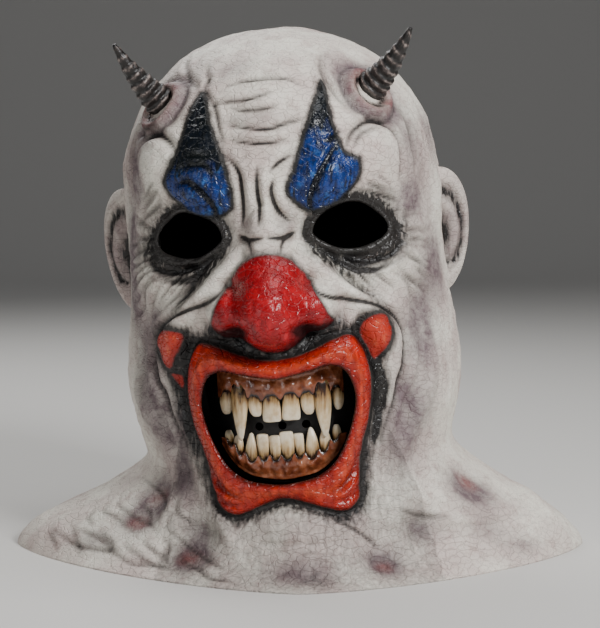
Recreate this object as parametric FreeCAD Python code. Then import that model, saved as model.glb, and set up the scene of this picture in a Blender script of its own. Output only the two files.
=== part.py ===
"""Over-the-head latex costume mask: a horned clown demon with a chest and shoulder bib.

The rubber skin is one hollow casting. Horns, gums, teeth, the mouth backing and the
fitting pads are separate pieces that are cemented or screwed to it.
Frame: +Z up, the face looks along -Y, +X is the wearer's left, and the origin is the
centre of the hem, on the surface that the hem stands on. Units are millimetres.
"""

import FreeCAD
import Part

import math
import os

from FreeCAD import Placement, Rotation, Vector

# ---- rubber skin -------------------------------------------------------------------
WALL = 2.5  # thickness of the cast rubber
CEMENT_GAP = 0.3  # glue line between the skin and what is cemented inside it

# ---- bib, standing on its hem ------------------------------------------------------
HEM_HALF_WIDTH = 183.0
HEM_FRONT = 149.0
HEM_BACK = 149.0
HEM_SQUARENESS = 1.45  # superellipse exponent of the hem's plan, 2 is an ellipse
SHOULDER_RISE = 70.0  # height at which each side of the bib has become the neck
CHEST_RISE = 40.0
NAPE_RISE = 80.0
SHOULDER_BOW = 1.9  # rounds the shoulder tips
SHOULDER_FALL = 2.2
CHEST_FALL = 3.5
NAPE_FALL = 2.0
BIB_LEVELS = (6.0, 12.0, 19.0, 27.0, 36.0, 46.0, 58.0)

# ---- neck, jaw and face: height, half width, front reach, back reach ---------------
NECK = (72.0, 97.0, 112.0, 87.0)
JAW = (95.0, 105.0, 113.0, 86.0)
MOUTH_LEVEL = (120.0, 107.0, 113.0, 92.0)
CHEEK = (150.0, 103.0, 113.0, 104.0)
NOSE_LEVEL = (180.0, 100.0, 108.0, 115.0)
EYE_LEVEL = (205.0, 100.0, 106.0, 120.0)
BROW = (230.0, 100.0, 111.0, 120.0)
FACE_LEVELS = (NECK, JAW, MOUTH_LEVEL, CHEEK, NOSE_LEVEL, EYE_LEVEL, BROW)
HEAD_SQUARENESS = 2.0

# ---- cranium -----------------------------------------------------------------------
CROWN_HEIGHT = 330.0
DOME_FULLNESS = 2.15  # 2 is an ellipse, more is fuller
DOME_ANGLES = (16.0, 32.0, 47.0, 60.0, 71.0, 81.0)  # degrees up from the brow

# ---- how the soft head sits on the bib ---------------------------------------------
HEAD_TURN = -5.5  # degrees about +Z, nose towards -X
HEAD_LEAN = -4.0  # degrees about +Y, crown towards -X
PIVOT_HEIGHT = 70.0
POSE_HEIGHT = 90.0  # the bib takes up the turn and lean below this height
SECTION_POINTS = 28

# ---- ears, cast in the skin --------------------------------------------------------
EAR_HALF_DEPTH = 22.0
EAR_HALF_HEIGHT = 40.0
EAR_HALF_THICKNESS = 6.5
EAR_HEIGHT = 196.0
EAR_BACK = 10.0
EAR_FLARE = 62.0  # degrees that the ear stands out from the side of the head
EAR_BOWL = 0.62  # the bowl's size as a share of the ear's
EAR_BOWL_DEPTH = 0.9  # as a share of the ear's half thickness

# ---- nose, cast in the skin --------------------------------------------------------
NOSE_HEIGHT = 168.0
NOSE_PROUD = 9.0  # centre of the nose ball in front of the face
NOSE_RADII = (22.0, 27.0, 23.0)
WING_OFFSET = 18.5
WING_DROP = 8.0
WING_RADII = (15.0, 17.0, 13.0)
BRIDGE_RISE = 20.0  # centre of the bridge above that of the ball
BRIDGE_RADII = (14.0, 15.0, 26.0)
NOSTRIL_RADIUS = 3.5
NOSTRIL_SPACING = 30.0
NOSTRIL_TILT = 35.0  # degrees that the breathing holes point below level

# ---- eye openings ------------------------------------------------------------------
EYE_SPACING = 94.0  # centre to centre
EYE_HEIGHT = 205.5
EYE_HALF_WIDTH = 21.5
EYE_HALF_HEIGHT = 13.5
EYE_SLANT = 12.0  # degrees, outer corners up
EYE_REACH = 20.0  # the eye cutters stop this far in front of the head's middle

# ---- mouth -------------------------------------------------------------------------
MOUTH_TOP = 125.0
MOUTH_DIP = 120.0  # top edge at the middle
MOUTH_BOTTOM = 59.0
MOUTH_HALF_WIDTH = 45.0
MOUTH_WIDEST = 108.0  # height of the widest part
MOUTH_FOOT_HALF_WIDTH = 17.0
MOUTH_PEAK = 28.0  # distance of the top edge's two highest points from the middle
MOUTH_CORNER_DROP = 4.0  # of the upper corners below the highest points
MOUTH_TAPER = 7.2  # how much narrower each side is half way down
MOUTH_FOOT_RISE = 3.0  # of the lower corners above the bottom
MOUTH_BOTTOM_HALF_WIDTH = 9.0
LIP_MARGIN = 11.0  # width of the lip beside the opening
LIP_FOOT = 10.0  # and below it
LIP_RISE = 7.0  # how far the lip stands proud of the face
# how much of the margin and of the foot the lip's edge takes up at its control points
LIP_AT_PEAK = 1.3
LIP_AT_CORNER = 0.5
LIP_BESIDE_FOOT = 1.7
LIP_BELOW_FOOT = 0.9

# ---- gums and mouth backing, on arcs about one upright axis ------------------------
ARCH_CENTRE = -35.0  # Y of that axis
ARCH_BACK = 60.0  # radius of the backing's front and the gums' back
BACKING_THICKNESS = 1.2
GUM_THICKNESS = 8.0
GUM_GAP = 0.3  # glue line between the gums and the mouth's wall
GUM_HALF_WIDTH = 39.0
UPPER_GUM_EDGE = (107.0, 2.0)  # height at the middle, rise at the ends
LOWER_GUM_EDGE = (73.0, 11.0)
TOOTH_DEPTH = 6.0  # front to back
TOOTH_ROUNDNESS = 0.85  # 1 is an ellipse in section, less is squarer
TOOTH_FULLNESS = 0.15  # the depth narrows less than the width by this share
TOOTH_WEDGE = 0.3  # how much of the depth is gone at the tip
TOOTH_POINTS = 12
UPPER_SET = 1.0  # how far the teeth stand in front of the middle of the gum
FANG_SET = 3.4  # the upper fangs close in front of the lower teeth
LOWER_SET = -1.0
SOCKET_CLEARANCE = 0.1
VENT_RADIUS = 2.5
VENT_SPACING = 14.0

# position along the arch, neck height, tip height, width, shape, set
UPPER_TEETH = {
    "upper_right_molar": (-32.4, 113.0, 98.0, 7.4, "peg", UPPER_SET),
    "upper_right_fang": (-24.2, 114.0, 82.5, 9.6, "fang", FANG_SET),
    "upper_right_lateral": (-14.8, 110.0, 96.5, 7.8, "peg", UPPER_SET),
    "upper_right_incisor": (-4.9, 110.0, 93.0, 10.4, "incisor", UPPER_SET),
    "upper_left_incisor": (6.6, 111.0, 93.5, 10.4, "incisor", UPPER_SET),
    "upper_left_lateral": (16.3, 110.5, 96.0, 7.8, "peg", UPPER_SET),
    "upper_left_fang": (25.3, 113.0, 82.0, 9.6, "fang", FANG_SET),
    "upper_left_molar": (33.8, 112.0, 97.0, 6.4, "peg", UPPER_SET),
}
LOWER_TEETH = {
    "lower_right_back_molar": (-32.6, 80.0, 88.5, 4.8, "peg", LOWER_SET),
    "lower_right_molar": (-26.8, 74.0, 85.5, 5.4, "peg", LOWER_SET),
    "lower_right_fang": (-19.2, 69.5, 87.0, 7.6, "fang", LOWER_SET),
    "lower_right_lateral": (-11.6, 70.5, 86.0, 6.4, "incisor", LOWER_SET),
    "lower_right_incisor": (-4.6, 70.0, 85.0, 6.4, "incisor", LOWER_SET),
    "lower_left_incisor": (2.9, 70.0, 87.0, 7.4, "incisor", LOWER_SET),
    "lower_left_lateral": (10.0, 71.0, 85.5, 5.6, "incisor", LOWER_SET),
    "lower_left_fang": (17.2, 69.5, 88.5, 7.6, "fang", LOWER_SET),
    "lower_left_molar": (25.0, 73.0, 85.5, 6.4, "peg", LOWER_SET),
    "lower_left_back_molar": (31.6, 79.0, 88.5, 5.0, "peg", LOWER_SET),
}
# share of the way from neck to tip: share of the width there
TOOTH_SHAPES = {
    "incisor": ((-0.25, 0.5), (0.0, 0.66), (0.35, 0.86), (0.85, 0.98), (1.0, 0.86)),
    "peg": ((-0.25, 0.55), (0.0, 0.74), (0.4, 1.0), (0.85, 0.74), (1.0, 0.4)),
    "fang": ((-0.15, 0.55), (0.0, 0.72), (0.3, 1.0), (0.75, 0.62), (1.0, 0.16)),
}

# ---- horns, their washers and screws -----------------------------------------------
HORN_SPREAD = 63.0  # distance of each horn's foot from the middle
HORN_FRONT = 60.0
HORN_DROP = 44.0  # height of the crown above the horns' feet
HORN_HEIGHT = CROWN_HEIGHT - HORN_DROP
HORN_SPLAY = {-1: 42.0, 1: 50.0}  # degrees out from upright, right horn and left
HORN_FORWARD = 27.0  # degrees tipped towards the face
HORN_LENGTH = 46.0
HORN_RADIUS = 10.5
HORN_TIP_RADIUS = 1.2
HORN_TAPER = 0.9  # 1 is a straight cone, less is fuller
HORN_THINNEST = 0.6  # least radius of the tip's groove, as a share of the tip's radius
HORN_BEND = 9.0  # degrees that the tip is bent upright
HORN_RINGS = 8
RING_DEPTH = 0.9
RING_STEPS = 4  # sections to each ring
HORN_SINK = 14.0  # length of casting below the foot, before it is trimmed to the skin
STUD_RADIUS = 5.0
STUD_CLEARANCE = 0.15
STUD_LENGTH = 8.5  # from the horn's foot inwards
WASHER_RADIUS = 12.0
WASHER_THICKNESS = 1.6
SCREW_RADIUS = 1.75
SCREW_LENGTH = 16.0
SCREW_HEAD_RADIUS = 4.0
SCREW_HEAD_HEIGHT = 2.4
SCREW_HEAD_ROUNDING = 0.8
SCREW_CLEARANCE = 0.2

# ---- foam fitting pads -------------------------------------------------------------
PAD_THICKNESS = 9.0
CROWN_PAD_RADIUS = 42.0
FOREHEAD_PAD_HALF_WIDTH = 34.0
FOREHEAD_PAD_LOW = 0.1  # share of the way from the brow to the crown
FOREHEAD_PAD_HIGH = 0.42
TEMPLE_PAD = (26.0, 176.0, 226.0)  # half depth, lowest, highest
NAPE_PAD = (36.0, 128.0, 172.0)  # half width, lowest, highest

FAR = 400.0  # longer than any cut needs to be


def signed_power(value, power):
    return math.copysign(abs(value) ** power, value)


def reaches(height):
    """Half width, front reach and back reach of the outer form at a height."""
    if height >= BROW[0]:
        rise = (height - BROW[0]) / (CROWN_HEIGHT - BROW[0])
        share = (1 - min(rise, 1.0) ** DOME_FULLNESS) ** (1 / DOME_FULLNESS)
        return [reach * share for reach in BROW[1:]]
    if height >= NECK[0]:
        for low, high in zip(FACE_LEVELS, FACE_LEVELS[1:]):
            if height <= high[0]:
                t = (height - low[0]) / (high[0] - low[0])
                return [a + (b - a) * t for a, b in zip(low[1:], high[1:])]
    side = (1 - min(height / SHOULDER_RISE, 1.0) ** SHOULDER_BOW) ** SHOULDER_FALL
    chest = (1 - min(height / CHEST_RISE, 1.0)) ** CHEST_FALL
    nape = (1 - min(height / NAPE_RISE, 1.0)) ** NAPE_FALL
    return [
        NECK[1] + (HEM_HALF_WIDTH - NECK[1]) * side,
        NECK[2] + (HEM_FRONT - NECK[2]) * chest,
        NECK[3] + (HEM_BACK - NECK[3]) * nape,
    ]


def offset_level(height, inset):
    """Height and reaches of the level that lies inset millimetres inside the form."""
    step = 1.0
    low, high = reaches(max(height - step, 0.0)), reaches(height + step)
    run = height + step - max(height - step, 0.0)
    falls = [(a - b) / run for a, b in zip(low, high)]
    ups = [fall / math.hypot(1.0, fall) for fall in falls]
    outs = [1.0 / math.hypot(1.0, fall) for fall in falls]
    drop = 0.0 if height <= 0.0 else inset * sum(ups) / len(ups)
    at = reaches(height)
    inner = [r - (inset - drop * up) / out for r, up, out in zip(at, ups, outs)]
    return height - drop, inner


def pose_at(share):
    """Placement of a level that takes up this share of the head's turn and lean."""
    pivot = Vector(0, 0, PIVOT_HEIGHT)
    turn = Rotation(Vector(0, 0, 1), HEAD_TURN * share)
    lean = Rotation(Vector(0, 1, 0), HEAD_LEAN * share)
    return Placement(pivot, lean.multiply(turn)).multiply(Placement(-pivot, Rotation()))


HEAD = pose_at(1.0)


def in_head(shape):
    """The shape moved from the upright head's frame to the mask's."""
    return shape.transformed(HEAD.toMatrix())


def level_wire(height, inset):
    """One closed level curve of the form, inset millimetres inside it."""
    at, (half_width, front, back) = offset_level(height, inset)
    rise = min(height / SHOULDER_RISE, 1.0)
    squareness = HEM_SQUARENESS + (HEAD_SQUARENESS - HEM_SQUARENESS) * rise
    share = min(height / POSE_HEIGHT, 1.0)
    share = share * share * (3 - 2 * share)
    points = []
    for n in range(SECTION_POINTS):
        angle = 2 * math.pi * n / SECTION_POINTS
        across = signed_power(math.sin(angle), 2 / squareness)
        along = signed_power(math.cos(angle), 2 / squareness)
        reach = back if along > 0 else front
        points.append(Vector(half_width * across, reach * along, at))
    curve = Part.BSplineCurve()
    curve.interpolate(points, PeriodicFlag=True)
    wire = Part.Wire([curve.toShape()])
    return wire.transformed(pose_at(share).toMatrix())


def form(inset=0.0):
    """The closed solid inside the surface that lies inset millimetres inside the form."""
    heights = [0.0, *BIB_LEVELS, *[level[0] for level in FACE_LEVELS]]
    dome = CROWN_HEIGHT - BROW[0]
    power = 2 / DOME_FULLNESS
    for angle in DOME_ANGLES:
        heights.append(BROW[0] + dome * math.sin(math.radians(angle)) ** power)
    wires = [level_wire(height, inset) for height in heights]
    crown = HEAD.multVec(Vector(0, 0, CROWN_HEIGHT - inset))
    return Part.makeLoft([*wires, Part.Vertex(crown)], True)


def ellipsoid(centre, radii):
    ball = Part.makeSphere(1.0)
    matrix = FreeCAD.Matrix()
    matrix.scale(*radii)
    ball = ball.transformGeometry(matrix)
    ball.translate(centre)
    return ball


def prism(curve, front, back):
    """A closed outline in X and Z made a solid between two values of Y."""
    face = Part.Face(Part.Wire([curve.toShape()]))
    solid = face.extrude(Vector(0, back - front, 0))
    solid.translate(Vector(0, front, 0))
    return solid


def closed_curve(outline):
    curve = Part.BSplineCurve()
    curve.interpolate([Vector(x, 0, z) for x, z in outline], PeriodicFlag=True)
    return curve


def mouth_outline(side, foot):
    """The mouth's opening, or the lip's edge side and foot millimetres outside it."""
    corner = MOUTH_HALF_WIDTH + LIP_AT_CORNER * side
    foot_corner = MOUTH_FOOT_HALF_WIDTH + LIP_BESIDE_FOOT * side
    half = [
        (0.0, MOUTH_DIP + side),
        (MOUTH_PEAK, MOUTH_TOP + LIP_AT_PEAK * side),
        (corner, MOUTH_TOP - MOUTH_CORNER_DROP + side),
        (MOUTH_HALF_WIDTH + side, MOUTH_WIDEST),
        (MOUTH_HALF_WIDTH - MOUTH_TAPER + side, (MOUTH_WIDEST + MOUTH_BOTTOM) / 2),
        (foot_corner, MOUTH_BOTTOM + MOUTH_FOOT_RISE - LIP_BELOW_FOOT * foot),
        (MOUTH_BOTTOM_HALF_WIDTH, MOUTH_BOTTOM - foot),
    ]
    return closed_curve(half + [(-x, z) for x, z in reversed(half[1:])])


def arch_drum(radius, low, high):
    """Upright cylinder about the arch's axis."""
    return Part.makeCylinder(radius, high - low, Vector(0, ARCH_CENTRE, low))


def eye_cutter(side):
    slant = math.radians(EYE_SLANT)
    tip = Vector(math.cos(slant), 0, side * math.sin(slant))
    centre = Vector(side * EYE_SPACING / 2, -FAR / 2, EYE_HEIGHT)
    ellipse = Part.Ellipse(
        centre + tip * EYE_HALF_WIDTH,
        centre + tip.cross(Vector(0, 1, 0)) * EYE_HALF_HEIGHT,
        centre,
    )
    face = Part.Face(Part.Wire([ellipse.toShape()]))
    return face.extrude(Vector(0, FAR / 2 - EYE_REACH, 0))


def ear(side):
    body = ellipsoid(Vector(), (EAR_HALF_THICKNESS, EAR_HALF_DEPTH, EAR_HALF_HEIGHT))
    bowl_radii = [
        EAR_HALF_THICKNESS * EAR_BOWL_DEPTH,
        EAR_HALF_DEPTH * EAR_BOWL,
        EAR_HALF_HEIGHT * EAR_BOWL,
    ]
    bowl = ellipsoid(Vector(-EAR_HALF_THICKNESS, 0, 0), bowl_radii)
    flap = body.cut(bowl)
    flap.rotate(Vector(), Vector(0, 0, 1), EAR_FLARE)
    if side > 0:
        flap = flap.mirror(Vector(), Vector(1, 0, 0))
    half_width = reaches(EAR_HEIGHT)[0]
    flap.translate(Vector(side * half_width, EAR_BACK, EAR_HEIGHT))
    return flap


def nose(inset):
    """The nose ball, its bridge and wings, inset millimetres inside their surface."""
    face = -reaches(NOSE_HEIGHT)[1]
    ball = Vector(0, face - NOSE_PROUD, NOSE_HEIGHT)
    solids = [ellipsoid(ball, [r - inset for r in NOSE_RADII])]
    for side in (-1, 1):
        wing = Vector(side * WING_OFFSET, face - NOSE_PROUD / 2, NOSE_HEIGHT - WING_DROP)
        solids.append(ellipsoid(wing, [r - inset for r in WING_RADII]))
    bridge = Vector(0, face, NOSE_HEIGHT + BRIDGE_RISE)
    solids.append(ellipsoid(bridge, [r - inset for r in BRIDGE_RADII]))
    return solids[0].multiFuse(solids[1:])


def nostril(side):
    direction = Vector(0, math.cos(math.radians(NOSTRIL_TILT)), 0)
    direction.z = math.sin(math.radians(NOSTRIL_TILT))
    face = -reaches(NOSE_HEIGHT)[1]
    centre = Vector(side * NOSTRIL_SPACING / 2, face - NOSE_PROUD, NOSE_HEIGHT - WING_DROP)
    start = centre - direction * 2 * NOSE_RADII[1]
    return Part.makeCylinder(NOSTRIL_RADIUS, 3 * NOSE_RADII[1], start, direction)


def horn_frame(side):
    """Placement whose +Z runs up the horn from its foot on the skin."""
    turn = Rotation(Vector(0, 1, 0), side * HORN_SPLAY[side])
    tip = Rotation(Vector(1, 0, 0), HORN_FORWARD)
    foot = Vector(side * HORN_SPREAD, -HORN_FRONT, HORN_HEIGHT)
    return Placement(foot, turn.multiply(tip))


def on_skin(side, outer):
    """The horn's frame, with its foot moved along it on to the skin's outer surface."""
    frame = HEAD.multiply(horn_frame(side))
    axis = frame.Rotation.multVec(Vector(0, 0, 1))
    line = Part.makeLine(frame.Base - axis * FAR, frame.Base + axis * FAR)
    inside = line.common(outer)
    reach = max((v.Point - frame.Base).dot(axis) for v in inside.Vertexes)
    return Placement(frame.Base + axis * reach, frame.Rotation)


def horn_body(side):
    """Ringed, gently bent cone, standing on the origin of its own frame."""
    steps = RING_STEPS * HORN_RINGS
    total = HORN_LENGTH + HORN_SINK
    wires = []
    for n in range(steps + 1):
        height = n / steps * total - HORN_SINK
        t = max(height / HORN_LENGTH, 0.0)
        radius = HORN_TIP_RADIUS + (HORN_RADIUS - HORN_TIP_RADIUS) * (1 - t) ** HORN_TAPER
        wave = math.cos(2 * math.pi * HORN_RINGS * t) * (1 - t)
        radius += RING_DEPTH * wave - RING_DEPTH
        radius = max(radius, HORN_TIP_RADIUS * HORN_THINNEST)
        bend = math.radians(HORN_BEND) * t
        centre = Vector(-side * height * math.sin(bend), 0, height * math.cos(bend))
        normal = Vector(-side * math.sin(bend), 0, math.cos(bend))
        wires.append(Part.Wire([Part.makeCircle(radius, centre, normal)]))
    return Part.makeLoft(wires, True)


def cylinder_up(radius, low, high):
    """Cylinder about the horn's axis between two distances from its foot."""
    return Part.makeCylinder(radius, high - low, Vector(0, 0, low))


def horn_pieces(side, outer):
    """Horn, washer, screw and the hole that the stud needs in the skin."""
    place = on_skin(side, outer).toMatrix()
    seat = -STUD_LENGTH
    head_top = seat - WASHER_THICKNESS
    pilot = cylinder_up(SCREW_RADIUS, head_top, head_top + SCREW_LENGTH)
    stud = cylinder_up(STUD_RADIUS, seat, HORN_RADIUS)
    body = horn_body(side).transformed(place).cut(outer)
    horn = body.fuse(stud.transformed(place)).cut(pilot.transformed(place))
    hole = cylinder_up(STUD_RADIUS + STUD_CLEARANCE, -HORN_SINK, HORN_RADIUS)
    washer = cylinder_up(WASHER_RADIUS, head_top, seat)
    washer = washer.cut(cylinder_up(SCREW_RADIUS + SCREW_CLEARANCE, head_top, seat))
    head = cylinder_up(SCREW_HEAD_RADIUS, head_top - SCREW_HEAD_HEIGHT, head_top)
    screw = head.fuse(cylinder_up(SCREW_RADIUS, head_top, head_top + SCREW_LENGTH))
    screw = screw.removeSplitter()
    screw = screw.makeFillet(SCREW_HEAD_ROUNDING, [screw_rim(screw)])
    others = [piece.transformed(place) for piece in (washer, screw, hole)]
    return [horn.removeSplitter(), *others]


def screw_rim(screw):
    """The edge round the outer face of the screw's head."""
    lowest = min(edge.CenterOfMass.z for edge in screw.Edges)
    return next(e for e in screw.Edges if abs(e.CenterOfMass.z - lowest) < 1e-6)


def tooth(facts, grow=0.0):
    """One tooth, or with grow the cutter for its socket."""
    across, neck, tip, width, shape, forward = facts
    radius = ARCH_BACK + GUM_THICKNESS / 2 + forward
    turn = math.degrees(math.asin(across / radius))
    wires = []
    for along, share in TOOTH_SHAPES[shape]:
        height = neck + (tip - neck) * along
        half_width = width * share / 2 + grow
        taper = min(share + TOOTH_FULLNESS, 1.0) * (1 - TOOTH_WEDGE * max(along, 0.0))
        half_depth = TOOTH_DEPTH * taper / 2 + grow
        points = []
        for n in range(TOOTH_POINTS):
            angle = 2 * math.pi * n / TOOTH_POINTS
            x = half_width * signed_power(math.cos(angle), TOOTH_ROUNDNESS)
            y = half_depth * signed_power(math.sin(angle), TOOTH_ROUNDNESS)
            points.append(Vector(x, y - radius, height))
        curve = Part.BSplineCurve()
        curve.interpolate(points, PeriodicFlag=True)
        wires.append(Part.Wire([curve.toShape()]))
    solid = Part.makeLoft(wires, True)
    solid.rotate(Vector(), Vector(0, 0, 1), turn)
    solid.translate(Vector(0, ARCH_CENTRE, 0))
    return solid


def gum(edge, up):
    """The gum between its toothed edge and the mouth's wall above or below it."""
    middle, rise = edge
    left = Vector(GUM_HALF_WIDTH, 0, middle + rise)
    right = Vector(-GUM_HALF_WIDTH, 0, middle + rise)
    away = Vector(0, 0, up * FAR)
    arc = Part.Arc(right, Vector(0, 0, middle), left)
    sides = Part.makePolygon([left, left + away, right + away, right])
    face = Part.Face(Part.Wire([arc.toShape(), *sides.Edges]))
    bar = face.extrude(Vector(0, -FAR, 0))
    bar.translate(Vector(0, ARCH_CENTRE, 0))
    bar = bar.common(prism(mouth_outline(-GUM_GAP, -GUM_GAP), -FAR, ARCH_CENTRE))
    bar = bar.common(arch_drum(ARCH_BACK + GUM_THICKNESS, -FAR, FAR))
    return bar.cut(arch_drum(ARCH_BACK, -FAR, FAR))


def mouth_backing():
    """Curved sheet that closes the mouth behind the gums, with breathing holes."""
    low, high = MOUTH_BOTTOM - FAR, MOUTH_TOP + FAR
    drum = arch_drum(ARCH_BACK, low, high)
    drum = drum.cut(arch_drum(ARCH_BACK - BACKING_THICKNESS, low, high))
    sheet = drum.common(prism(mouth_outline(WALL, WALL), -FAR, ARCH_CENTRE))
    middle = (UPPER_GUM_EDGE[0] + LOWER_GUM_EDGE[0]) / 2
    for n in (-1, 0, 1):
        start = Vector(n * VENT_SPACING, -FAR, middle)
        vent = Part.makeCylinder(VENT_RADIUS, FAR + ARCH_CENTRE, start, Vector(0, 1, 0))
        sheet = sheet.cut(vent)
    return sheet


def box(half_x, y_range, z_range, centre_x=0.0):
    """A block of a half width about centre_x, between two values each of Y and Z."""
    corner = Vector(centre_x - half_x, y_range[0], z_range[0])
    return Part.makeBox(2 * half_x, y_range[1] - y_range[0], z_range[1] - z_range[0], corner)


def pads():
    """Foam pads, each the part of one layer inside the skin that lies in a region."""
    dome = CROWN_HEIGHT - BROW[0]
    brow_low = BROW[0] + FOREHEAD_PAD_LOW * dome
    brow_high = BROW[0] + FOREHEAD_PAD_HIGH * dome
    nape_half, nape_low, nape_high = NAPE_PAD
    temple_half, temple_low, temple_high = TEMPLE_PAD
    regions = {
        "crown_pad": Part.makeCylinder(CROWN_PAD_RADIUS, FAR, Vector(0, 0, EYE_HEIGHT)),
        "forehead_pad": box(FOREHEAD_PAD_HALF_WIDTH, (-FAR, 0), (brow_low, brow_high)),
        "nape_pad": box(nape_half, (0, FAR), (nape_low, nape_high)),
    }
    depth = (-temple_half, temple_half)
    height = (temple_low, temple_high)
    for name, side in (("right", -1), ("left", 1)):
        regions[name + "_temple_pad"] = box(FAR / 2, depth, height, side * FAR / 2)
    gap = WALL + CEMENT_GAP
    layer = form(gap).cut(form(gap + PAD_THICKNESS))
    return {name: layer.common(in_head(region)) for name, region in regions.items()}


def skin(outer, stud_holes):
    """The rubber casting: head, ears, nose, lips, neck and bib in one hollow piece."""
    lip_block = prism(mouth_outline(LIP_MARGIN, LIP_FOOT), -FAR, ARCH_CENTRE)
    lips = form(-LIP_RISE).common(in_head(lip_block))
    ears = [in_head(ear(side)) for side in (-1, 1)]
    solid = outer.multiFuse([lips, in_head(nose(0.0)), *ears])
    # the block leaves rubber round the mouth, from the lips back to the backing
    block = prism(mouth_outline(WALL, WALL), -FAR, ARCH_CENTRE)
    block = block.cut(arch_drum(ARCH_BACK, -FAR, FAR))
    hollow = form(WALL).fuse(in_head(nose(WALL))).cut(in_head(block))
    holes = [prism(mouth_outline(0.0, 0.0), -FAR, ARCH_CENTRE)]
    holes += [eye_cutter(side) for side in (-1, 1)]
    holes += [nostril(side) for side in (-1, 1)]
    return solid.cut(hollow).cut([in_head(hole) for hole in holes] + stud_holes)


def main():
    os.makedirs("parts", exist_ok=True)
    outer = form()
    nodes = {}
    stud_holes = []
    for name, side in (("right", -1), ("left", 1)):
        horn, washer, screw, hole = horn_pieces(side, outer)
        nodes[name + "_horn"] = horn
        nodes[name + "_horn_washer"] = washer
        nodes[name + "_horn_screw"] = screw
        stud_holes.append(hole)
    nodes["latex_skin"] = skin(outer, stud_holes)
    for name, edge, up, teeth in (
        ("upper_gum", UPPER_GUM_EDGE, 1, UPPER_TEETH),
        ("lower_gum", LOWER_GUM_EDGE, -1, LOWER_TEETH),
    ):
        sockets = [tooth(facts, SOCKET_CLEARANCE) for facts in teeth.values()]
        nodes[name] = in_head(gum(edge, up).cut(sockets))
        for tooth_name, facts in teeth.items():
            nodes[tooth_name] = in_head(tooth(facts))
    nodes["mouth_backing"] = in_head(mouth_backing())
    nodes.update(pads())
    for name, shape in sorted(nodes.items()):
        solids = shape.Solids
        whole = solids[0] if len(solids) == 1 else Part.makeCompound(solids)
        whole.exportStep(os.path.join("parts", name + ".step"))
        print(f"{name}: {len(solids)} solid, valid {shape.isValid()}, {shape.Volume:.0f} mm3")


main()
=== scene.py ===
"""A horned clown demon mask of painted latex, standing on the hem of its chest bib."""

import math

import bmesh
import bpy
import numpy as np
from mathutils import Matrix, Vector, noise
from mathutils.kdtree import KDTree


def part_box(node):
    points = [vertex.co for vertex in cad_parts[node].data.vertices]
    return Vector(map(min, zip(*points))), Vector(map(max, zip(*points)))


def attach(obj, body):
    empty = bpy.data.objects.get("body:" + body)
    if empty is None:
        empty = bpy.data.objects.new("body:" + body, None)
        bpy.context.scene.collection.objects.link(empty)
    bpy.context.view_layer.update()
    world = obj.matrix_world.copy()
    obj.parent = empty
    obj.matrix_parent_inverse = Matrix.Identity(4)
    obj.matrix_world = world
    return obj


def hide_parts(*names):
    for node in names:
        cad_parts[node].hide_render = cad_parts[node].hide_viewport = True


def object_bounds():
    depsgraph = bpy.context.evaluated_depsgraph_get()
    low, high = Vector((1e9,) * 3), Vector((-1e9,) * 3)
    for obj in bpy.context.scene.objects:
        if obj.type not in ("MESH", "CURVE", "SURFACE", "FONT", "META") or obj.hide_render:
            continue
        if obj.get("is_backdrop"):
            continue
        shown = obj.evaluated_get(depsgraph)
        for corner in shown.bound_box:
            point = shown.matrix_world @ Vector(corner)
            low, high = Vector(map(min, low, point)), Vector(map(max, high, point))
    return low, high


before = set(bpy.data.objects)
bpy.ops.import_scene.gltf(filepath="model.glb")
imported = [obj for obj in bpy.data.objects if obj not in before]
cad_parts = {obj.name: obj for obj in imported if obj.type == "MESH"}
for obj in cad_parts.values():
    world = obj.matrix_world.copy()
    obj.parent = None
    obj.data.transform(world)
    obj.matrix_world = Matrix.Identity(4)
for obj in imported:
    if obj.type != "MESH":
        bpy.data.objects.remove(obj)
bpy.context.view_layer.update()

# ---- camera --------------------------------------------------------------------------
# A long lens a little above the middle of the face, looking slightly down on the bib.

camera_data = bpy.data.cameras.new("camera")
camera_data.lens = 107.5
camera_data.sensor_width = 36.0
camera = bpy.data.objects.new("camera", camera_data)
camera.location = (0.0, -1.2, 0.246)
camera.rotation_euler = (math.radians(90.0 - 4.66), 0.0, 0.0)
bpy.context.scene.collection.objects.link(camera)
bpy.context.scene.camera = camera

# ---- rubber skin: the plain form -----------------------------------------------------
# One slush-cast latex skin 2.5 mm thick, made in a two-part plaster mould: head, neck
# and bib. Everything is shaped upright in millimetres, then turned and leant on the bib.

skin_low, skin_high = [1000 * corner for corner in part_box("latex_skin")]
HEM_HALF_WIDTH = skin_high.x
HEM_FRONT = -skin_low.y
HEM_BACK = skin_high.y
CROWN = 330.0
BROW = 230.0
FULLNESS = 2.15
NECK_LEVEL = 70.0
WALL = 2.5
HEAD_TURN = math.radians(-5.5)
HEAD_LEAN = math.radians(-4.0)
COLUMNS = 312
ROWS = 256
INNER_ROWS = 38

form_heights = (0, 70, 95, 120, 150, 180, 205, 230, 330)
form_half_widths = (97, 97, 105, 107, 103, 100, 100, 100, 100)
form_fronts = (112, 112, 113, 113, 113, 108, 106, 111, 111)
form_backs = (87, 87, 86, 92, 104, 115, 120, 120, 120)


def eased(values):
    """One of the form's reaches at every millimetre of height, with its corners rounded."""
    fine = np.interp(np.arange(-30.0, CROWN + 31), form_heights, values)
    bell = np.exp(-((np.arange(-30.0, 31.0) / 9.0) ** 2))
    return np.convolve(fine, bell / bell.sum(), "valid")


levels = np.arange(0.0, CROWN + 1)
eased_half_width = eased(form_half_widths)
eased_front = eased(form_fronts)
eased_back = eased(form_backs)


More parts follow.
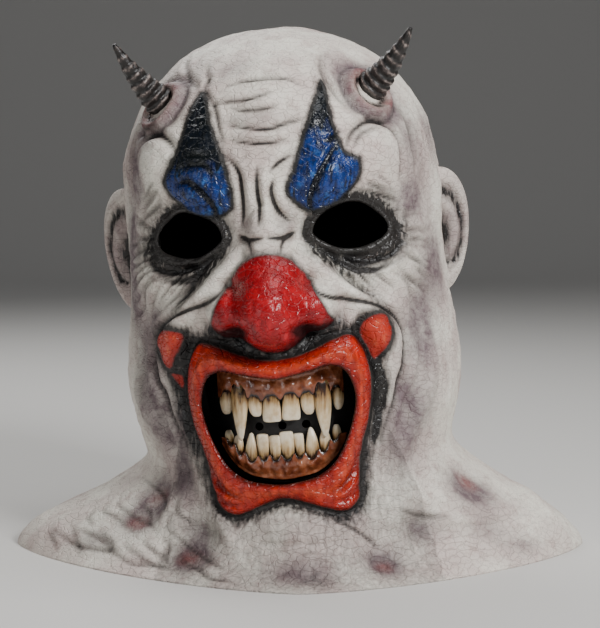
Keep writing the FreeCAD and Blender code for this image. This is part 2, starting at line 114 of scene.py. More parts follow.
def reaches(z):
    """Half width, front reach and back reach of the upright form at each height."""
    rise = np.clip((z - BROW) / (CROWN - BROW), 0.0, 1.0)
    dome = (1 - rise**FULLNESS) ** (1 / FULLNESS)
    side = (1 - np.clip(z / NECK_LEVEL, 0, 1) ** 1.9) ** 2.2
    chest = (1 - np.clip(z / 40.0, 0, 1)) ** 3.5
    nape = (1 - np.clip(z / 80.0, 0, 1)) ** 2
    return (
        np.interp(z, levels, eased_half_width) * dome + (HEM_HALF_WIDTH - 97.0) * side,
        np.interp(z, levels, eased_front) * dome + (HEM_FRONT - 112.0) * chest,
        np.interp(z, levels, eased_back) * dome + (HEM_BACK - 87.0) * nape,
    )


def around(angle, z, inset=0.0):
    """Points on the form at angles from the front, positive towards the wearer's left."""
    half_width, front, back = reaches(z)
    power = 2 / np.clip(1.45 + 0.55 * z / NECK_LEVEL, 1.45, 2.0)
    across = np.sign(np.sin(angle)) * np.abs(np.sin(angle)) ** power
    along = -np.sign(np.cos(angle)) * np.abs(np.cos(angle)) ** power
    reach = np.where(along < 0, front, back)
    return np.stack(
        [(half_width - inset) * across, (reach - inset) * along, z + 0 * across], -1
    )


def facing(x, z):
    """Points on the front of the form that have the given x and z."""
    x = np.asarray(x, float)
    z = np.asarray(z, float)
    half_width, front, _ = reaches(z)
    power = np.clip(1.45 + 0.55 * z / NECK_LEVEL, 1.45, 2.0)
    share = np.clip(np.abs(x) / half_width, 0, 0.995)
    return np.stack([x, -front * (1 - share**power) ** (1 / power), z], -1)


def posed(points):
    """Points of the upright mask moved to where the turned and leaning head has them."""
    points = np.asarray(points, float)
    x, y, z = points[..., 0], points[..., 1], points[..., 2]
    chin = np.where(y < 0, np.exp(-((x / 60.0) ** 2)), 0.0)
    share = np.clip(z / (90.0 - 40.0 * chin), 0, 1)
    share = share * share * (3 - 2 * share)
    turn, lean = HEAD_TURN * share, HEAD_LEAN * share
    turned_x = x * np.cos(turn) - y * np.sin(turn)
    turned_y = x * np.sin(turn) + y * np.cos(turn)
    above = z - NECK_LEVEL
    return np.stack(
        [
            turned_x * np.cos(lean) + above * np.sin(lean),
            turned_y,
            above * np.cos(lean) - turned_x * np.sin(lean) + NECK_LEVEL,
        ],
        -1,
    )


def row_heights(shares):
    """Heights of the rows, close together on the face and wider on bib and crown."""
    low = np.linspace(0.0, BROW, 400)
    angle = np.linspace(0.0, math.pi / 2, 400)[1:]
    high = BROW + (CROWN - BROW) * np.sin(angle) ** (2 / FULLNESS)
    z = np.concatenate([low, high])
    half_width, front, back = reaches(z)
    mean = (half_width + front + back) / 3
    spacing = np.interp(z, (0, 40, 60, 200, 215, 285, 330), (1.9, 1.7, 1.15, 1.2, 1.4, 1.7, 3.2))
    path = np.hypot(np.diff(z), np.diff(mean)) / ((spacing[1:] + spacing[:-1]) / 2)
    rows = np.concatenate([[0.0], np.cumsum(path)])
    return np.interp(shares * rows[-1], rows, z)


def form_mesh(columns, rows, inset):
    """The form as a bmesh, in millimetres: a grid wrapped round it and closed at the crown."""
    sheet = bmesh.new()
    bmesh.ops.create_grid(sheet, x_segments=columns, y_segments=rows, size=1.0)
    flat = np.array([v.co for v in sheet.verts])
    turn = np.abs(flat[:, 0])
    angle = np.sign(flat[:, 0]) * math.pi * (0.533 * turn + 0.467 * turn**2.6)
    height = row_heights((flat[:, 1] + 1) / 2)
    places = around(angle, height, inset)
    places[:, 2] -= np.clip((height - BROW) / (CROWN - BROW), 0, 1) * inset
    for vertex, place in zip(sheet.verts, places):
        vertex.co = place
    bmesh.ops.remove_doubles(sheet, verts=sheet.verts, dist=0.001)
    return sheet


# ---- rubber skin: eye and mouth openings ---------------------------------------------
# The openings are cut out of the casting by hand. Outlines are (x, z) points of one half
# or of one eye, run through by a smooth closed curve.

MOUTH_HALF = ((0, 120), (10, 121.5), (22, 124), (33, 126), (41.5, 121), (45.5, 107), (43, 93),
              (38, 80), (31, 69), (21, 62), (10, 59.5), (0, 58.5))
LIP_HALF = ((0, 131.5), (12, 133), (24, 137), (34, 141), (45, 143), (52, 135), (55.5, 118), (54, 97),
            (48, 77), (44.5, 60), (42, 46), (33, 39.5), (22, 42), (12, 46), (0, 49))
EYE = ((27, 204.5), (31, 212.5), (40, 218), (50, 220), (59, 217), (67, 210), (69, 203), (64, 196.5),
       (54, 193), (44, 193), (36, 196), (29, 201))


def smooth_line(points, closed=False, steps=8):
    """A Catmull-Rom curve through the points."""
    points = np.asarray(points, float)
    if closed:
        padded = np.concatenate([points[-1:], points, points[:2]])
    else:
        padded = np.concatenate([2 * points[:1] - points[1:2], points, 2 * points[-1:] - points[-2:-1]])
    t = np.linspace(0, 1, steps, endpoint=False)[:, None]
    runs = []
    for a, b, c, d in zip(padded, padded[1:], padded[2:], padded[3:]):
        square = (2 * a - 5 * b + 4 * c - d) * t**2
        cube = (3 * b - a - 3 * c + d) * t**3
        runs.append(0.5 * (2 * b + (c - a) * t + square + cube))
    if not closed:
        runs.append(padded[-2:-1])
    return np.concatenate(runs)


def both_halves(half):
    return smooth_line(list(half) + [(-x, z) for x, z in half[-2:0:-1]], closed=True)


mouth_outline = both_halves(MOUTH_HALF)
lip_outline = both_halves(LIP_HALF)
left_eye_outline = smooth_line(EYE, closed=True)
right_eye_outline = left_eye_outline * (-1, 1)


def depth_inside(outline, x, z, reach=30.0):
    """Signed distance in mm to a closed outline, positive inside it, -reach far away."""
    depth = np.full(x.shape, -reach)
    low, high = outline.min(0) - reach, outline.max(0) + reach
    near = np.nonzero((x > low[0]) & (x < high[0]) & (z > low[1]) & (z < high[1]))[0]
    px, pz = x[near, None], z[near, None]
    ax, az = outline[:, 0], outline[:, 1]
    bx, bz = np.roll(ax, -1), np.roll(az, -1)
    t = ((px - ax) * (bx - ax) + (pz - az) * (bz - az)) / ((bx - ax) ** 2 + (bz - az) ** 2)
    t = np.clip(t, 0, 1)
    gap = np.hypot(px - ax - t * (bx - ax), pz - az - t * (bz - az)).min(1)
    crosses = ((az > pz) != (bz > pz)) & (px < (bx - ax) * (pz - az) / (bz - az + 1e-12) + ax)
    within = crosses.sum(1) % 2 == 1
    depth[near] = np.clip(np.where(within, gap, -gap), -reach, reach)
    return depth


def on_outline(outline, x, z):
    """The nearest point of a closed outline to one point."""
    a = outline
    b = np.roll(outline, -1, 0)
    p = np.array([x, z])
    t = np.clip(((p - a) * (b - a)).sum(1) / ((b - a) ** 2).sum(1), 0, 1)
    feet = a + t[:, None] * (b - a)
    return feet[np.hypot(*(feet - p).T).argmin()]


def cut_openings(sheet, margin, relax):
    """Cuts the three openings in a form mesh and returns each one's rim vertices."""
    rims = []
    for outline in (mouth_outline, left_eye_outline, right_eye_outline):
        centre = outline.mean(0)
        radial = outline - centre
        outline = centre + radial * (1 + margin / np.hypot(*radial.T))[:, None]
        at = np.array([v.co for v in sheet.verts])
        depth = depth_inside(outline, at[:, 0], at[:, 2])
        depth[at[:, 1] > 0] = -30.0
        sheet.verts.index_update()
        gone = [f for f in sheet.faces if sum(depth[v.index] for v in f.verts) > 0]
        bmesh.ops.delete(sheet, geom=gone, context="FACES")
        rim = [v for v in sheet.verts if v.is_boundary and v.co.z > 1.0
               and abs(v.co.x - centre[0]) < 60 and abs(v.co.z - centre[1]) < 50]
        rim = [v for v in rim if not any(v in other for other in rims)]
        for v in rim:
            foot = on_outline(outline, v.co.x, v.co.z)
            v.co = facing(foot[0], foot[1])
        rims.append(set(rim))
        for _ in range(relax):
            ring = {e.other_vert(v) for v in rim for e in v.link_edges}
            ring |= {e.other_vert(v) for v in ring for e in v.link_edges}
            ring = list(ring - set(rim))
            bmesh.ops.smooth_vert(sheet, verts=ring, factor=0.5, use_axis_x=True, use_axis_z=True)
    return rims


skin = form_mesh(COLUMNS, ROWS, 0.0)
rims = cut_openings(skin, 0.0, 4)

# ---- rubber skin: modelled flesh -----------------------------------------------------
# The flesh is modelled in clay before the mould is made: swellings, hollows, and folds
# with a bank on each side. Paint amounts are worked out beside it, from the same lines.

skin.verts.ensure_lookup_table()
skin.verts.index_update()
skin.normal_update()
rest = np.array([v.co for v in skin.verts])
outward = np.array([v.normal for v in skin.verts])
rest_x, rest_y, rest_z = rest.T
lift = np.zeros(len(rest))
ahead = np.zeros(len(rest))
# dark ink lines, and painted shade: dark laid along the bottom of each furrow
ink = np.zeros(len(rest))
# black airbrush, and painted shade: black laid in the grooves, nostrils, ear hollows and round the horn
# feet
soot = np.zeros(len(rest))
# mauve airbrush, and painted shade: mauve sprayed in the hollows and down the sides of the head, neck and
# bib
mauve = np.zeros(len(rest))
rose = np.zeros(len(rest))
# umber wash, and painted shade: a broader dark band settled along each furrow
wash = np.zeros(len(rest))
ahead_of_ears = rest_y < 0.0
coarse = np.interp(rest_z, (0, 45, 60, 200, 330), (2.2, 1.9, 1.25, 1.25, 1.9))
coarse = coarse + 1.3 * np.clip(np.abs(rest_x) / 105.0, 0, 1) ** 3


def bell(distance, width):
    return np.exp(-((distance / width) ** 2))


def swell(x, z, across, high, height, tint=None, amount=0.0, back=False):
    """A round swelling, or with a negative height a hollow, with a tint sprayed on it: airbrush paint, and
    where it darkens a hollow or a side of the head, painted shade.
    """
    centre = facing(x, z)
    if back:
        centre = around(math.pi - math.asin(x / 120.0), np.float64(z))
    gap = rest - centre
    deep = (across + high) / 2
    near = np.exp(-((gap[:, 0] / across) ** 2) - (gap[:, 1] / deep) ** 2 - (gap[:, 2] / high) ** 2)
    lift[:] += height * near
    if tint is not None:
        tint[:] += amount * near


def near_line(line, reach):
    """Vertices within reach of a line, their distances, and how far along it they are."""
    low, high = line.min(0) - reach, line.max(0) + reach
    picked = np.nonzero(np.all((rest > low) & (rest < high), axis=1))[0]
    start, step = line[:-1], np.diff(line, axis=0)
    step_squared = (step**2).sum(1)
    gaps, places = [], []
    for part in np.array_split(picked, max(1, len(picked) // 4000)):
        offset = rest[part][:, None] - start
        t = np.clip((offset * step).sum(2) / step_squared, 0, 1)
        gap = np.linalg.norm(offset - t[..., None] * step, axis=2)
        best = gap.argmin(1)
        gaps.append(gap[np.arange(len(part)), best])
        places.append((best + t[np.arange(len(part)), best]) / len(step))
    return picked, np.concatenate(gaps), np.concatenate(places)


def tapered(place):
    return np.clip(np.sin(np.pi * np.clip(place, 0, 1)), 0, 1) ** 0.6


def fold(width, depth, dark, points, bank=0.45, line=None):
    """A furrow with a bank on each side, and dark paint in it that is both umber wash and painted shade."""
    if line is None:
        x, z = smooth_line(points, steps=5).T
        line = facing(x, z)
    picked, gap, place = near_line(line, 4.5 * width)
    strength = tapered(place)
    profile = bank * bell(gap - 2.1 * width, 1.1 * width) - bell(gap, width)
    lift[picked] += depth * strength * profile
    ink[picked] += 1.5 * dark * strength * (1.25 / coarse[picked]) ** 1.3 * bell(
        gap, np.hypot(0.4 * width, 0.62 * coarse[picked]),
    )
    wash[picked] += 0.5 * dark * strength * bell(gap, 1.7 * width)


def ridge(width, height, points, tint=None, amount=0.0):
    """A long raised fold, or with a negative height a long hollow."""
    x, z = smooth_line(points, steps=5).T
    picked, gap, place = near_line(facing(x, z), 2.6 * width)
    lift[picked] += height * tapered(place) * bell(gap, width)
    if tint is not None:
        tint[picked] += amount * tapered(place) * bell(gap, width)


def fan(count, first, last, width, depth, dark, wander=1.2, seed=0):
    """Furrows spread evenly between a first and a last one, each wandering a little."""
    rng = np.random.default_rng(seed)
    first, last = np.array(first, float), np.array(last, float)
    for n in range(count):
        share = (n + 0.5 + rng.uniform(-0.3, 0.3)) / count
        points = first + (last - first) * share + rng.normal(0, wander, first.shape)
        size = rng.uniform(0.7, 1.2)
        fold(width * size, depth * size, dark * rng.uniform(0.5, 1.1), points)


def both(function, *facts, points=None, **more):
    """The same thing on both sides of the face."""
    for side in (-1, 1):
        function(*facts, [(side * x, z) for x, z in points], **more)


# brow, temples and skull
for side in (-1, 1):
    swell(side * 64, 249, 21, 17, 8.0)
    swell(side * 38, 231, 15, 17, 5.5)
    swell(side * 33, 262, 10, 22, 2.5)
    swell(side * 78, 184, 22, 20, 6.0)
    # mauve in the hollows: airbrush and painted shade
    swell(side * 50, 205, 25, 15, -6.0, mauve, 0.35)
    swell(side * 84, 140, 18, 24, -5.0, mauve, 0.5)
    swell(side * 86, 104, 20, 26, 3.0)
    swell(side * 92, 222, 16, 16, -3.0, mauve, 0.25)
    swell(side * 62, 145, 13, 15, 6.0)
    swell(side * 30, 181, 14, 13, 2.0)
    # mauve sprayed on the sides of the head and face: airbrush and painted shade
    swell(side * 84, 255, 14, 26, 0.0, mauve, 0.55)
    swell(side * 90, 175, 16, 30, 0.0, mauve, 0.55)
    swell(side * 78, 92, 16, 26, -2.0, mauve, 0.6)
    swell(side * 46, 300, 14, 12, 0.0, mauve, 0.35)
    swell(side * 20, 232, 7, 22, 0.0, mauve, 0.3)
    swell(side * 34, 40, 12, 10, 0.0, mauve, 0.35)
    swell(side * 26, 150, 12, 8, 0.0, mauve, 0.6)
# more mauve patches: airbrush and painted shade
for x, z, across, high, amount in (
    (83, 219, 14, 10, 0.95), (-79, 241, 10, 16, 0.75), (-92, 192, 12, 30, 0.85), (-70, 270, 10, 9, 0.6),
    (96, 258, 12, 18, 0.6), (-16, 302, 12, 7, 0.35), (66, 294, 12, 8, 0.55), (-63, 58, 8, 15, 0.9),
    (-89, 40, 15, 9, 0.8), (-64, 11, 12, 8, 0.75), (0, 7, 24, 6, 0.7), (50, 11, 12, 8, 0.6),
    (108, 41, 20, 11, 0.65), (-125, 15, 16, 7, 0.5), (138, 10, 18, 6, 0.4), (86, 139, 8, 20, 0.45),
    (96, 178, 10, 20, 0.55), (-6, 271, 20, 3, 0.3), (-73, 156, 9, 11, 0.6), (-81, 118, 9, 20, 0.6),
    (68, 78, 9, 20, 0.7), (-62, 90, 7, 20, 0.7), (12, 212, 6, 8, 0.4), (-10, 212, 6, 8, 0.4),
):
    swell(x, z, across, high, 0.0, mauve, amount)
swell(0, 284, 34, 26, 3.0)
swell(0, 222, 14, 22, 4.0)
swell(0, 27, 34, 17, 7.0)
swell(0, 48, 26, 6, -2.0)

# forehead furrows, between the painted marks
for points in (
    [(-21, 291), (-10, 293), (5, 294), (16, 293), (27, 288)],
    [(-29, 281), (-19, 282), (-9, 282), (1, 284), (9, 286)],
    [(-17, 278), (-7, 276), (3, 276), (12, 278)],
    [(-22, 270), (-9, 267), (4, 265), (17, 268), (28, 270)],
    [(-20, 261), (-7, 258), (5, 257), (17, 259)],
):
    fold(1.7, 1.7, 0.8, points)
fold(1.6, 1.4, 0.7, [(-31, 289), (-26, 279), (-23, 266), (-21, 256)])
fold(1.5, 1.2, 0.6, [(-29, 284), (-33, 292), (-31, 299)])

# furrows between the brows
fold(1.8, 2.4, 1.0, [(-22, 253), (-14, 243), (-12, 232), (-12, 220), (-14, 208)])
fold(1.8, 2.4, 1.0, [(-2, 246), (-3, 232), (-2, 220), (-3, 209)])
fold(1.6, 1.6, 0.8, [(19, 250), (11, 246), (4, 240)])
fold(1.8, 2.4, 1.0, [(7, 237), (5, 229), (8, 218), (15, 210)])
both(fold, 2.0, 2.2, 0.8, points=[(-18, 205), (-9, 202), (0, 203)])
both(fold, 1.5, 1.4, 0.6, points=[(16, 204), (10, 200), (8, 192)])

# crown creases
fold(1.9, 1.6, 0.6, [(-51, 316), (-49, 308), (-45, 300), (-37, 292)])
fold(1.9, 1.4, 0.5, [(-34, 308), (-33, 302), (-31, 297), (-29, 291)])
fold(2.0, 1.8, 0.6, [(36, 312), (35, 302), (38, 292), (45, 281), (53, 273)])
fold(1.8, 1.2, 0.4, [(30, 296), (33, 288), (37, 280)])

# brow swellings: the deep furrow over each, then the fine ones beside the temple
fold(2.4, 3.0, 1.0, [(46, 248), (52, 260), (63, 266), (74, 259), (78, 243), (78, 228)])
fold(1.6, 1.5, 0.6, [(50, 249), (56, 258), (66, 261)])
fold(2.4, 3.0, 1.0, [(-48, 253), (-56, 263), (-67, 267), (-77, 259), (-81, 244)])
fan(
    6, [(70, 284), (80, 268), (85, 250), (86, 232)], [(86, 276), (92, 262), (94, 248), (94, 228)], 1.4,
    1.0, 0.35, 1.0, 4,
)
fan(
    5, [(-72, 280), (-81, 268), (-84, 250), (-84, 232)],
    [(-86, 274), (-92, 258), (-94, 240), (-93, 220)], 1.5, 1.2, 0.45, 1.0, 5,
)
fold(1.7, 1.6, 0.8, [(-60, 272), (-70, 270), (-80, 268)])

# eyes: lids, bags and crow's feet
fan(
    5, [(28, 198), (42, 190), (56, 188), (66, 194)], [(34, 190), (48, 178), (64, 176), (76, 184)], 1.5,
    1.5, 0.5, 0.7, 6,
)
fan(
    5, [(-28, 198), (-42, 190), (-56, 188), (-66, 194)],
    [(-34, 190), (-48, 178), (-64, 176), (-76, 184)], 1.5, 1.5, 0.5, 0.7, 7,
)
both(fold, 2.6, 3.2, 0.9, points=[(44, 189), (58, 184), (70, 187), (76, 196)])
fan(9, [(74, 212), (82, 216), (90, 220)], [(66, 176), (76, 164), (82, 152)], 1.5, 1.5, 0.45, 1.0, 8)
fan(
    11, [(-74, 214), (-82, 219), (-90, 224)], [(-66, 176), (-76, 164), (-82, 152)], 1.4, 1.3, 0.5, 1.0,
    9,
)
fan(7, [(80, 205), (88, 203), (95, 202)], [(76, 172), (86, 162), (93, 156)], 1.6, 1.6, 0.4, 1.0, 10)
fan(
    7, [(-80, 205), (-88, 203), (-95, 202)], [(-76, 172), (-86, 162), (-93, 156)], 1.6, 1.3, 0.4, 1.0,
    11,
)
fan(5, [(56, 236), (66, 232), (76, 226)], [(58, 224), (68, 219), (80, 214)], 1.4, 1.2, 0.4, 0.8, 12)
fan(
    6, [(-60, 240), (-68, 236), (-78, 228)], [(-62, 226), (-72, 220), (-84, 212)], 1.3, 1.2, 0.6, 0.8,
    13,
)

# cheeks: the groove under the eye, the smooth fold below it, the fold round the mouth
# painted shade: black sprayed in the groove under the eye
both(
    ridge, 4.0, -3.5, points=[(24, 196), (36, 184), (50, 171), (64, 155), (72, 142)], tint=soot,
    amount=0.62,
)
both(ridge, 7.5, 6.0, points=[(14, 196), (27, 184), (40, 170), (54, 159), (66, 151)])
fold(
    2.0, 2.4, 1.0,
    [
        (20, 182), (26, 172), (35, 166), (46, 162), (58, 158), (70, 151), (76, 140), (75, 123),
        (69, 104), (62, 86), (56, 70),
    ],
)
fold(
    2.0, 2.4, 1.0,
    [
        (-22, 182), (-28, 172), (-37, 166), (-48, 162), (-61, 157), (-73, 150), (-79, 138), (-77, 122),
        (-70, 104), (-62, 86), (-57, 70),
    ],
)
both(ridge, 3.0, 3.2, points=[(66, 160), (78, 152), (83, 136), (79, 118), (71, 98), (62, 76)])
both(
    # painted shade: black sprayed in the hollow beside the mouth
    ridge, 4.5, -4.0, points=[(50, 155), (52, 143), (60, 128), (63, 112), (60, 94), (54, 74)],
    tint=soot, amount=0.95,
)
fan(6, [(36, 186), (48, 172), (62, 158)], [(44, 192), (58, 180), (74, 166)], 1.4, 1.2, 0.5, 1.0, 14)
fan(
    6, [(-36, 186), (-48, 172), (-62, 158)], [(-44, 192), (-58, 180), (-74, 166)], 1.4, 1.2, 0.6, 1.0,
    15,
)

# between nose and upper lip: snarled folds
for side in (-1, 1):
    fold(1.8, 2.4, 1.0, [(side * 6, 137), (side * 17, 142), (side * 28, 147), (side * 38, 150)])
    fold(1.5, 1.8, 0.9, [(side * 14, 138), (side * 26, 142), (side * 38, 146)])
    ridge(3.2, 2.6, [(side * 20, 146), (side * 32, 148), (side * 41, 152)])
    # painted shade: black sprayed in the hollows under the nose and down beside the mouth
    ridge(5.5, -2.0, [(side * 2, 136), (side * 18, 141), (side * 34, 150), (side * 44, 152)], soot, 1.0)
    ridge(1.3, 1.6, [(side * 2, 139), (side * 10, 140), (side * 20, 147), (side * 30, 151)])
    ridge(
        4.0, -1.5,
        [
            (side * 44, 152), (side * 50, 140), (side * 57, 128), (side * 60, 108), (side * 56, 84),
            (side * 50, 60),
        ],
        soot, 0.9,
    )

# jaw, cheek sides and neck
both(ridge, 7.0, 3.5, points=[(88, 150), (90, 124), (84, 100), (74, 78), (66, 60)])
# painted shade: mauve in the hollow along the jaw
both(ridge, 5.5, -3.0, points=[(70, 118), (74, 96), (68, 78)], tint=mauve, amount=0.5)
fan(5, [(78, 150), (80, 120), (78, 92)], [(96, 150), (96, 120), (92, 92)], 1.7, 0.9, 0.3, 1.4, 16)
fan(
    5, [(-80, 150), (-82, 120), (-78, 92)], [(-96, 150), (-96, 120), (-92, 92)], 1.7, 0.9, 0.35, 1.4,
    17,
)

# ---- rubber skin: nose ---------------------------------------------------------------
# A bulbous clown nose with wings and nostrils, modelled in one with the face.


def bulge(x, z, half_width, half_height, ahead_of_face, deep):
    """How far a ball stands in front of the face, falling away steeply outside it."""
    out = np.hypot((rest_x - x) / half_width, (rest_z - z) / half_height)
    wall = ahead_of_face - (out - 1) * 2.6 * (half_width + half_height) / 2
    return np.where(out < 1, ahead_of_face + deep * np.sqrt(np.clip(1 - out**2, 0, 1)), wall)


nose_balls = (
    bulge(1, 162, 22, 24, 8, 28),
    bulge(-23, 160, 15, 14, 3, 18),
    bulge(24, 161, 15, 14, 3, 18),
    bulge(0, 179, 20, 15, 4, 15),
)
bridge = bulge(0, 196, 12, 26, 0, 10)
blend = 3.0
nose_height = blend * np.log(sum(np.exp(np.clip(ball, -60, 60) / blend) for ball in nose_balls) + 1)
nose_height = np.where(ahead_of_ears, nose_height, 0.0)
bridge_part = np.exp(np.clip(bridge, -60, 60) / blend) - 1 + 1e-9
both_heights = blend * np.log(np.exp(nose_height / blend) + bridge_part)
nose_all = np.where(ahead_of_ears, np.clip(both_heights, 0, None), 0.0)
ahead += nose_all
nose_top = 193.0 - (rest_x / 7.0) ** 2 * 1.0 - np.clip(np.abs(rest_x) - 14.0, 0, None) * 0.6
nose_paint = np.minimum(nose_height - 3.2, 1.2 * (nose_top - rest_z))
nose_dimples = np.array([
    noise.noise(Vector(p) / 3.4) if height > 3 else 0.0 for p, height in zip(rest, nose_height)
])
ahead += 0.55 * nose_dimples * np.clip((nose_height - 3) / 5, 0, 1)

for side in (-1, 1):
    nostril = np.hypot((rest_x - side * 19.5) / 7.5, (rest_z - 149.0 + side * 0.4) / 4.4)
    hollow = bell(nostril, 1.0) * ahead_of_ears
    ahead -= 9.0 * hollow
    # painted shade: black in the nostril hollows
    soot += 1.6 * bell(nostril, 0.85) * ahead_of_ears
    crease = np.hypot((rest_x - side * 15.5) / 3.0, (rest_z - 167) / 9.0)
    ahead -= 2.0 * bell(crease, 1.0) * ahead_of_ears

# ---- rubber skin: lips ---------------------------------------------------------------
# Wide snarling lips, a thick roll round the mouth with creases that run across it.

lip_depth = depth_inside(lip_outline, rest_x, rest_z)
mouth_gap = -depth_inside(mouth_outline, rest_x, rest_z)
lip_depth[~ahead_of_ears] = -30.0
share = np.clip(lip_depth / np.maximum(lip_depth + np.maximum(mouth_gap, 0.0), 0.1), 0, 1)
roll = np.where(lip_depth > 0, share**0.5 * (1 - 0.45 * share**5), 0.0)
ahead += 9.0 * roll
round_mouth = np.arctan2(rest_z - 92, rest_x)
cracks = np.array([
    noise.noise(Vector((math.cos(a) * 9, math.sin(a) * 9, s * 0.9))) for a, s in zip(round_mouth, share)
])
ahead += np.where(lip_depth > 0, 1.1 * cracks * np.sin(np.pi * np.clip(share, 0, 1)), 0.0)
lift -= 2.2 * bell(lip_depth + 2.0, 2.4) * (lip_depth > -12)
for side in (-1, 1):
    fold(2.0, 2.4, 0.5, [(side * 46, 74), (side * 41, 62), (side * 34, 54), (side * 25, 50)])
    fold(1.6, 1.6, 0.3, [(side * 44, 54), (side * 36, 47), (side * 26, 46)])
    ridge(
        2.2, 2.0,
        [(side * 8, 126), (side * 22, 130), (side * 36, 134), (side * 46, 128), (side * 50, 112)],
    )

# ---- rubber skin: eye rims, horn collars, chest and nape ------------------------------
# The eye rims are pinched thin, a collar of flesh grips each horn, and the chest has
# tendons with hollows between them.

eye_gap = np.minimum(
    -depth_inside(left_eye_outline, rest_x, rest_z), -depth_inside(right_eye_outline, rest_x, rest_z)
)
eye_gap = np.where(ahead_of_ears, eye_gap, 30.0)
lift += 1.6 * bell(eye_gap - 1.5, 2.2) - 1.5 * bell(eye_gap - 6.0, 3.0)
outer_low = np.clip((np.abs(rest_x) - 44.0) / 22.0, -0.4, 1) + np.clip((206.0 - rest_z) / 14.0, -0.3, 1)
# black airbrush round the eye openings, with painted shade deepening it to their outer and lower sides
soot += 1.5 * bell(eye_gap, 4.8) + 0.45 * bell(eye_gap, 9.0 + 3.0 * outer_low)
soot += 0.30 * np.clip(outer_low, 0, 2) * bell(eye_gap - 6.0, 7.0)
rose += 0.75 * np.exp(-(((np.abs(rest_x) - 60) / 9.0) ** 2) - ((rest_z - 187) / 4.5) ** 2) * ahead_of_ears

for side in (-1, 1):
    foot = around(side * math.radians(47.0), np.float64(284.0))
    gap = np.linalg.norm(rest - foot, axis=1)
    lift += 3.4 * bell(gap - 14.5, 3.2) - 2.0 * bell(gap - 21.0, 3.0)
    rose += 0.8 * bell(gap - 12.0, 5.0)
    # painted shade: mauve round the collar, black where the horn goes into the skin, a dark line in the dip
    # beyond it
    mauve += 0.8 * bell(gap - 18.0, 6.0)
    soot += 0.8 * bell(gap - 10.0, 2.0)
    ink += 0.5 * bell(gap - 20.5, 1.3)

chest_tendons = (
    ([(-66, 62), (-66, 46), (-74, 30), (-90, 16)], 5.0, 3.0),
    ([(-44, 44), (-40, 28), (-34, 12)], 6.0, 3.5),
    ([(62, 60), (64, 44), (60, 30), (64, 14)], 6.0, 3.0),
    ([(36, 36), (34, 20), (30, 8)], 7.0, 3.0),
)
for points, width, height in chest_tendons:
    ridge(width, height, points)
# the chest hollows, each sprayed mauve in proportion to its depth as painted shade
for x, z, across, high, depth in (
    (-84, 50, 13, 11, 5.5), (-100, 30, 17, 9, 5.0), (-59, 25, 11, 12, 4.5), (-66, 12, 12, 6, 4.0),
    (74, 27, 14, 9, 4.5), (50, 9, 11, 6, 3.5), (106, 44, 17, 11, 3.5), (118, 22, 18, 8, 2.5),
):
    swell(x, z, across, high, -depth, mauve, 0.16 * depth)
for x, z, across, high in (
    (-86, 46, 9, 6), (-100, 29, 10, 5), (-66, 12, 9, 5), (50, 9, 6, 4), (106, 46, 9, 6),
):
    swell(x, z, across, high, 0.0, rose, 0.9)
both(ridge, 4.0, 2.5, points=[(70, 56), (74, 44), (82, 33)])
ridge(2.6, 1.6, [(-74, 60), (-72, 48), (-80, 33), (-98, 20)])
# painted shade: black along the tendons' sides and in the notch at the hem
ridge(2.2, 0.0, [(-77, 57), (-75, 48), (-82, 36), (-96, 23)], soot, 0.32)
ridge(2.2, 0.0, [(-48, 36), (-46, 25), (-50, 14)], soot, 0.28)
swell(10, 5, 11, 5, -2.0, soot, 0.4)
ridge(2.0, 2.4, [(-8, 12), (4, 13), (18, 13), (24, 9)])
for points in (
    [
        (-152, 24), (-156, 20), (-156, 16), (-147, 13), (-138, 10), (-127, 10), (-114, 10), (-102, 6),
        (-92, 6), (-78, 6), (-63, 2),
    ],
    [(-160, 14), (-154, 10), (-150, 4)],
    [(-144, 23), (-140, 16), (-136, 10), (-134, 3)],
    [(-140, 20), (-132, 18), (-122, 16), (-114, 12), (-107, 12)],
    [(-129, 34), (-129, 30), (-132, 27), (-129, 24), (-127, 22)],
    [(-118, 38), (-120, 34), (-120, 31), (-113, 30), (-108, 26), (-100, 21)],
    [(-110, 44), (-112, 38), (-106, 34), (-98, 31), (-90, 28), (-84, 24)],
    [(-97, 54), (-88, 51), (-82, 46), (-79, 40), (-76, 35)],
    [(-98, 41), (-94, 38), (-91, 34), (-92, 28)],
    [(-123, 22), (-118, 18), (-114, 14), (-115, 10)],
    [(-106, 18), (-104, 14), (-94, 9), (-87, 7), (-78, 6)],
    [(-80, 31), (-74, 24), (-66, 18), (-58, 14), (-50, 10), (-40, 6)],
    [(-80, 22), (-78, 16), (-80, 12), (-77, 7)],
    [(-94, 20), (-91, 16), (-84, 12), (-80, 8)],
    [(-71, 42), (-68, 36), (-62, 30)],
    [(-76, 17), (-68, 10), (-59, 7), (-54, 4), (-43, 3), (-30, 2)],
    [(22, 38), (30, 32), (42, 22), (48, 16)],
    [(60, 38), (76, 33), (96, 30)],
):
    fold(1.3, 1.0, 0.9, points)
fan(9, [(62, 36), (96, 34), (132, 24)], [(48, 6), (92, 6), (134, 4)], 2.2, 0.9, 0.22, 2.2, 20)
fan(4, [(-26, 40), (0, 43), (26, 40)], [(-26, 12), (0, 12), (26, 12)], 1.8, 0.6, 0.2, 1.8, 21)
for level, depth in ((118, 4.0), (98, 4.5), (82, 3.0)):
    angle = np.radians(np.linspace(120, 240, 25))
    fold(4.0, depth, 0.5, None, line=around(angle, level + 5 * np.cos(3 * angle)))
for turn in (100, 116, 244, 260):
    angle = np.radians(np.linspace(turn, turn + 8, 12))
    fold(2.0, 1.2, 0.4, None, line=around(angle, np.linspace(240, 130, 12)))

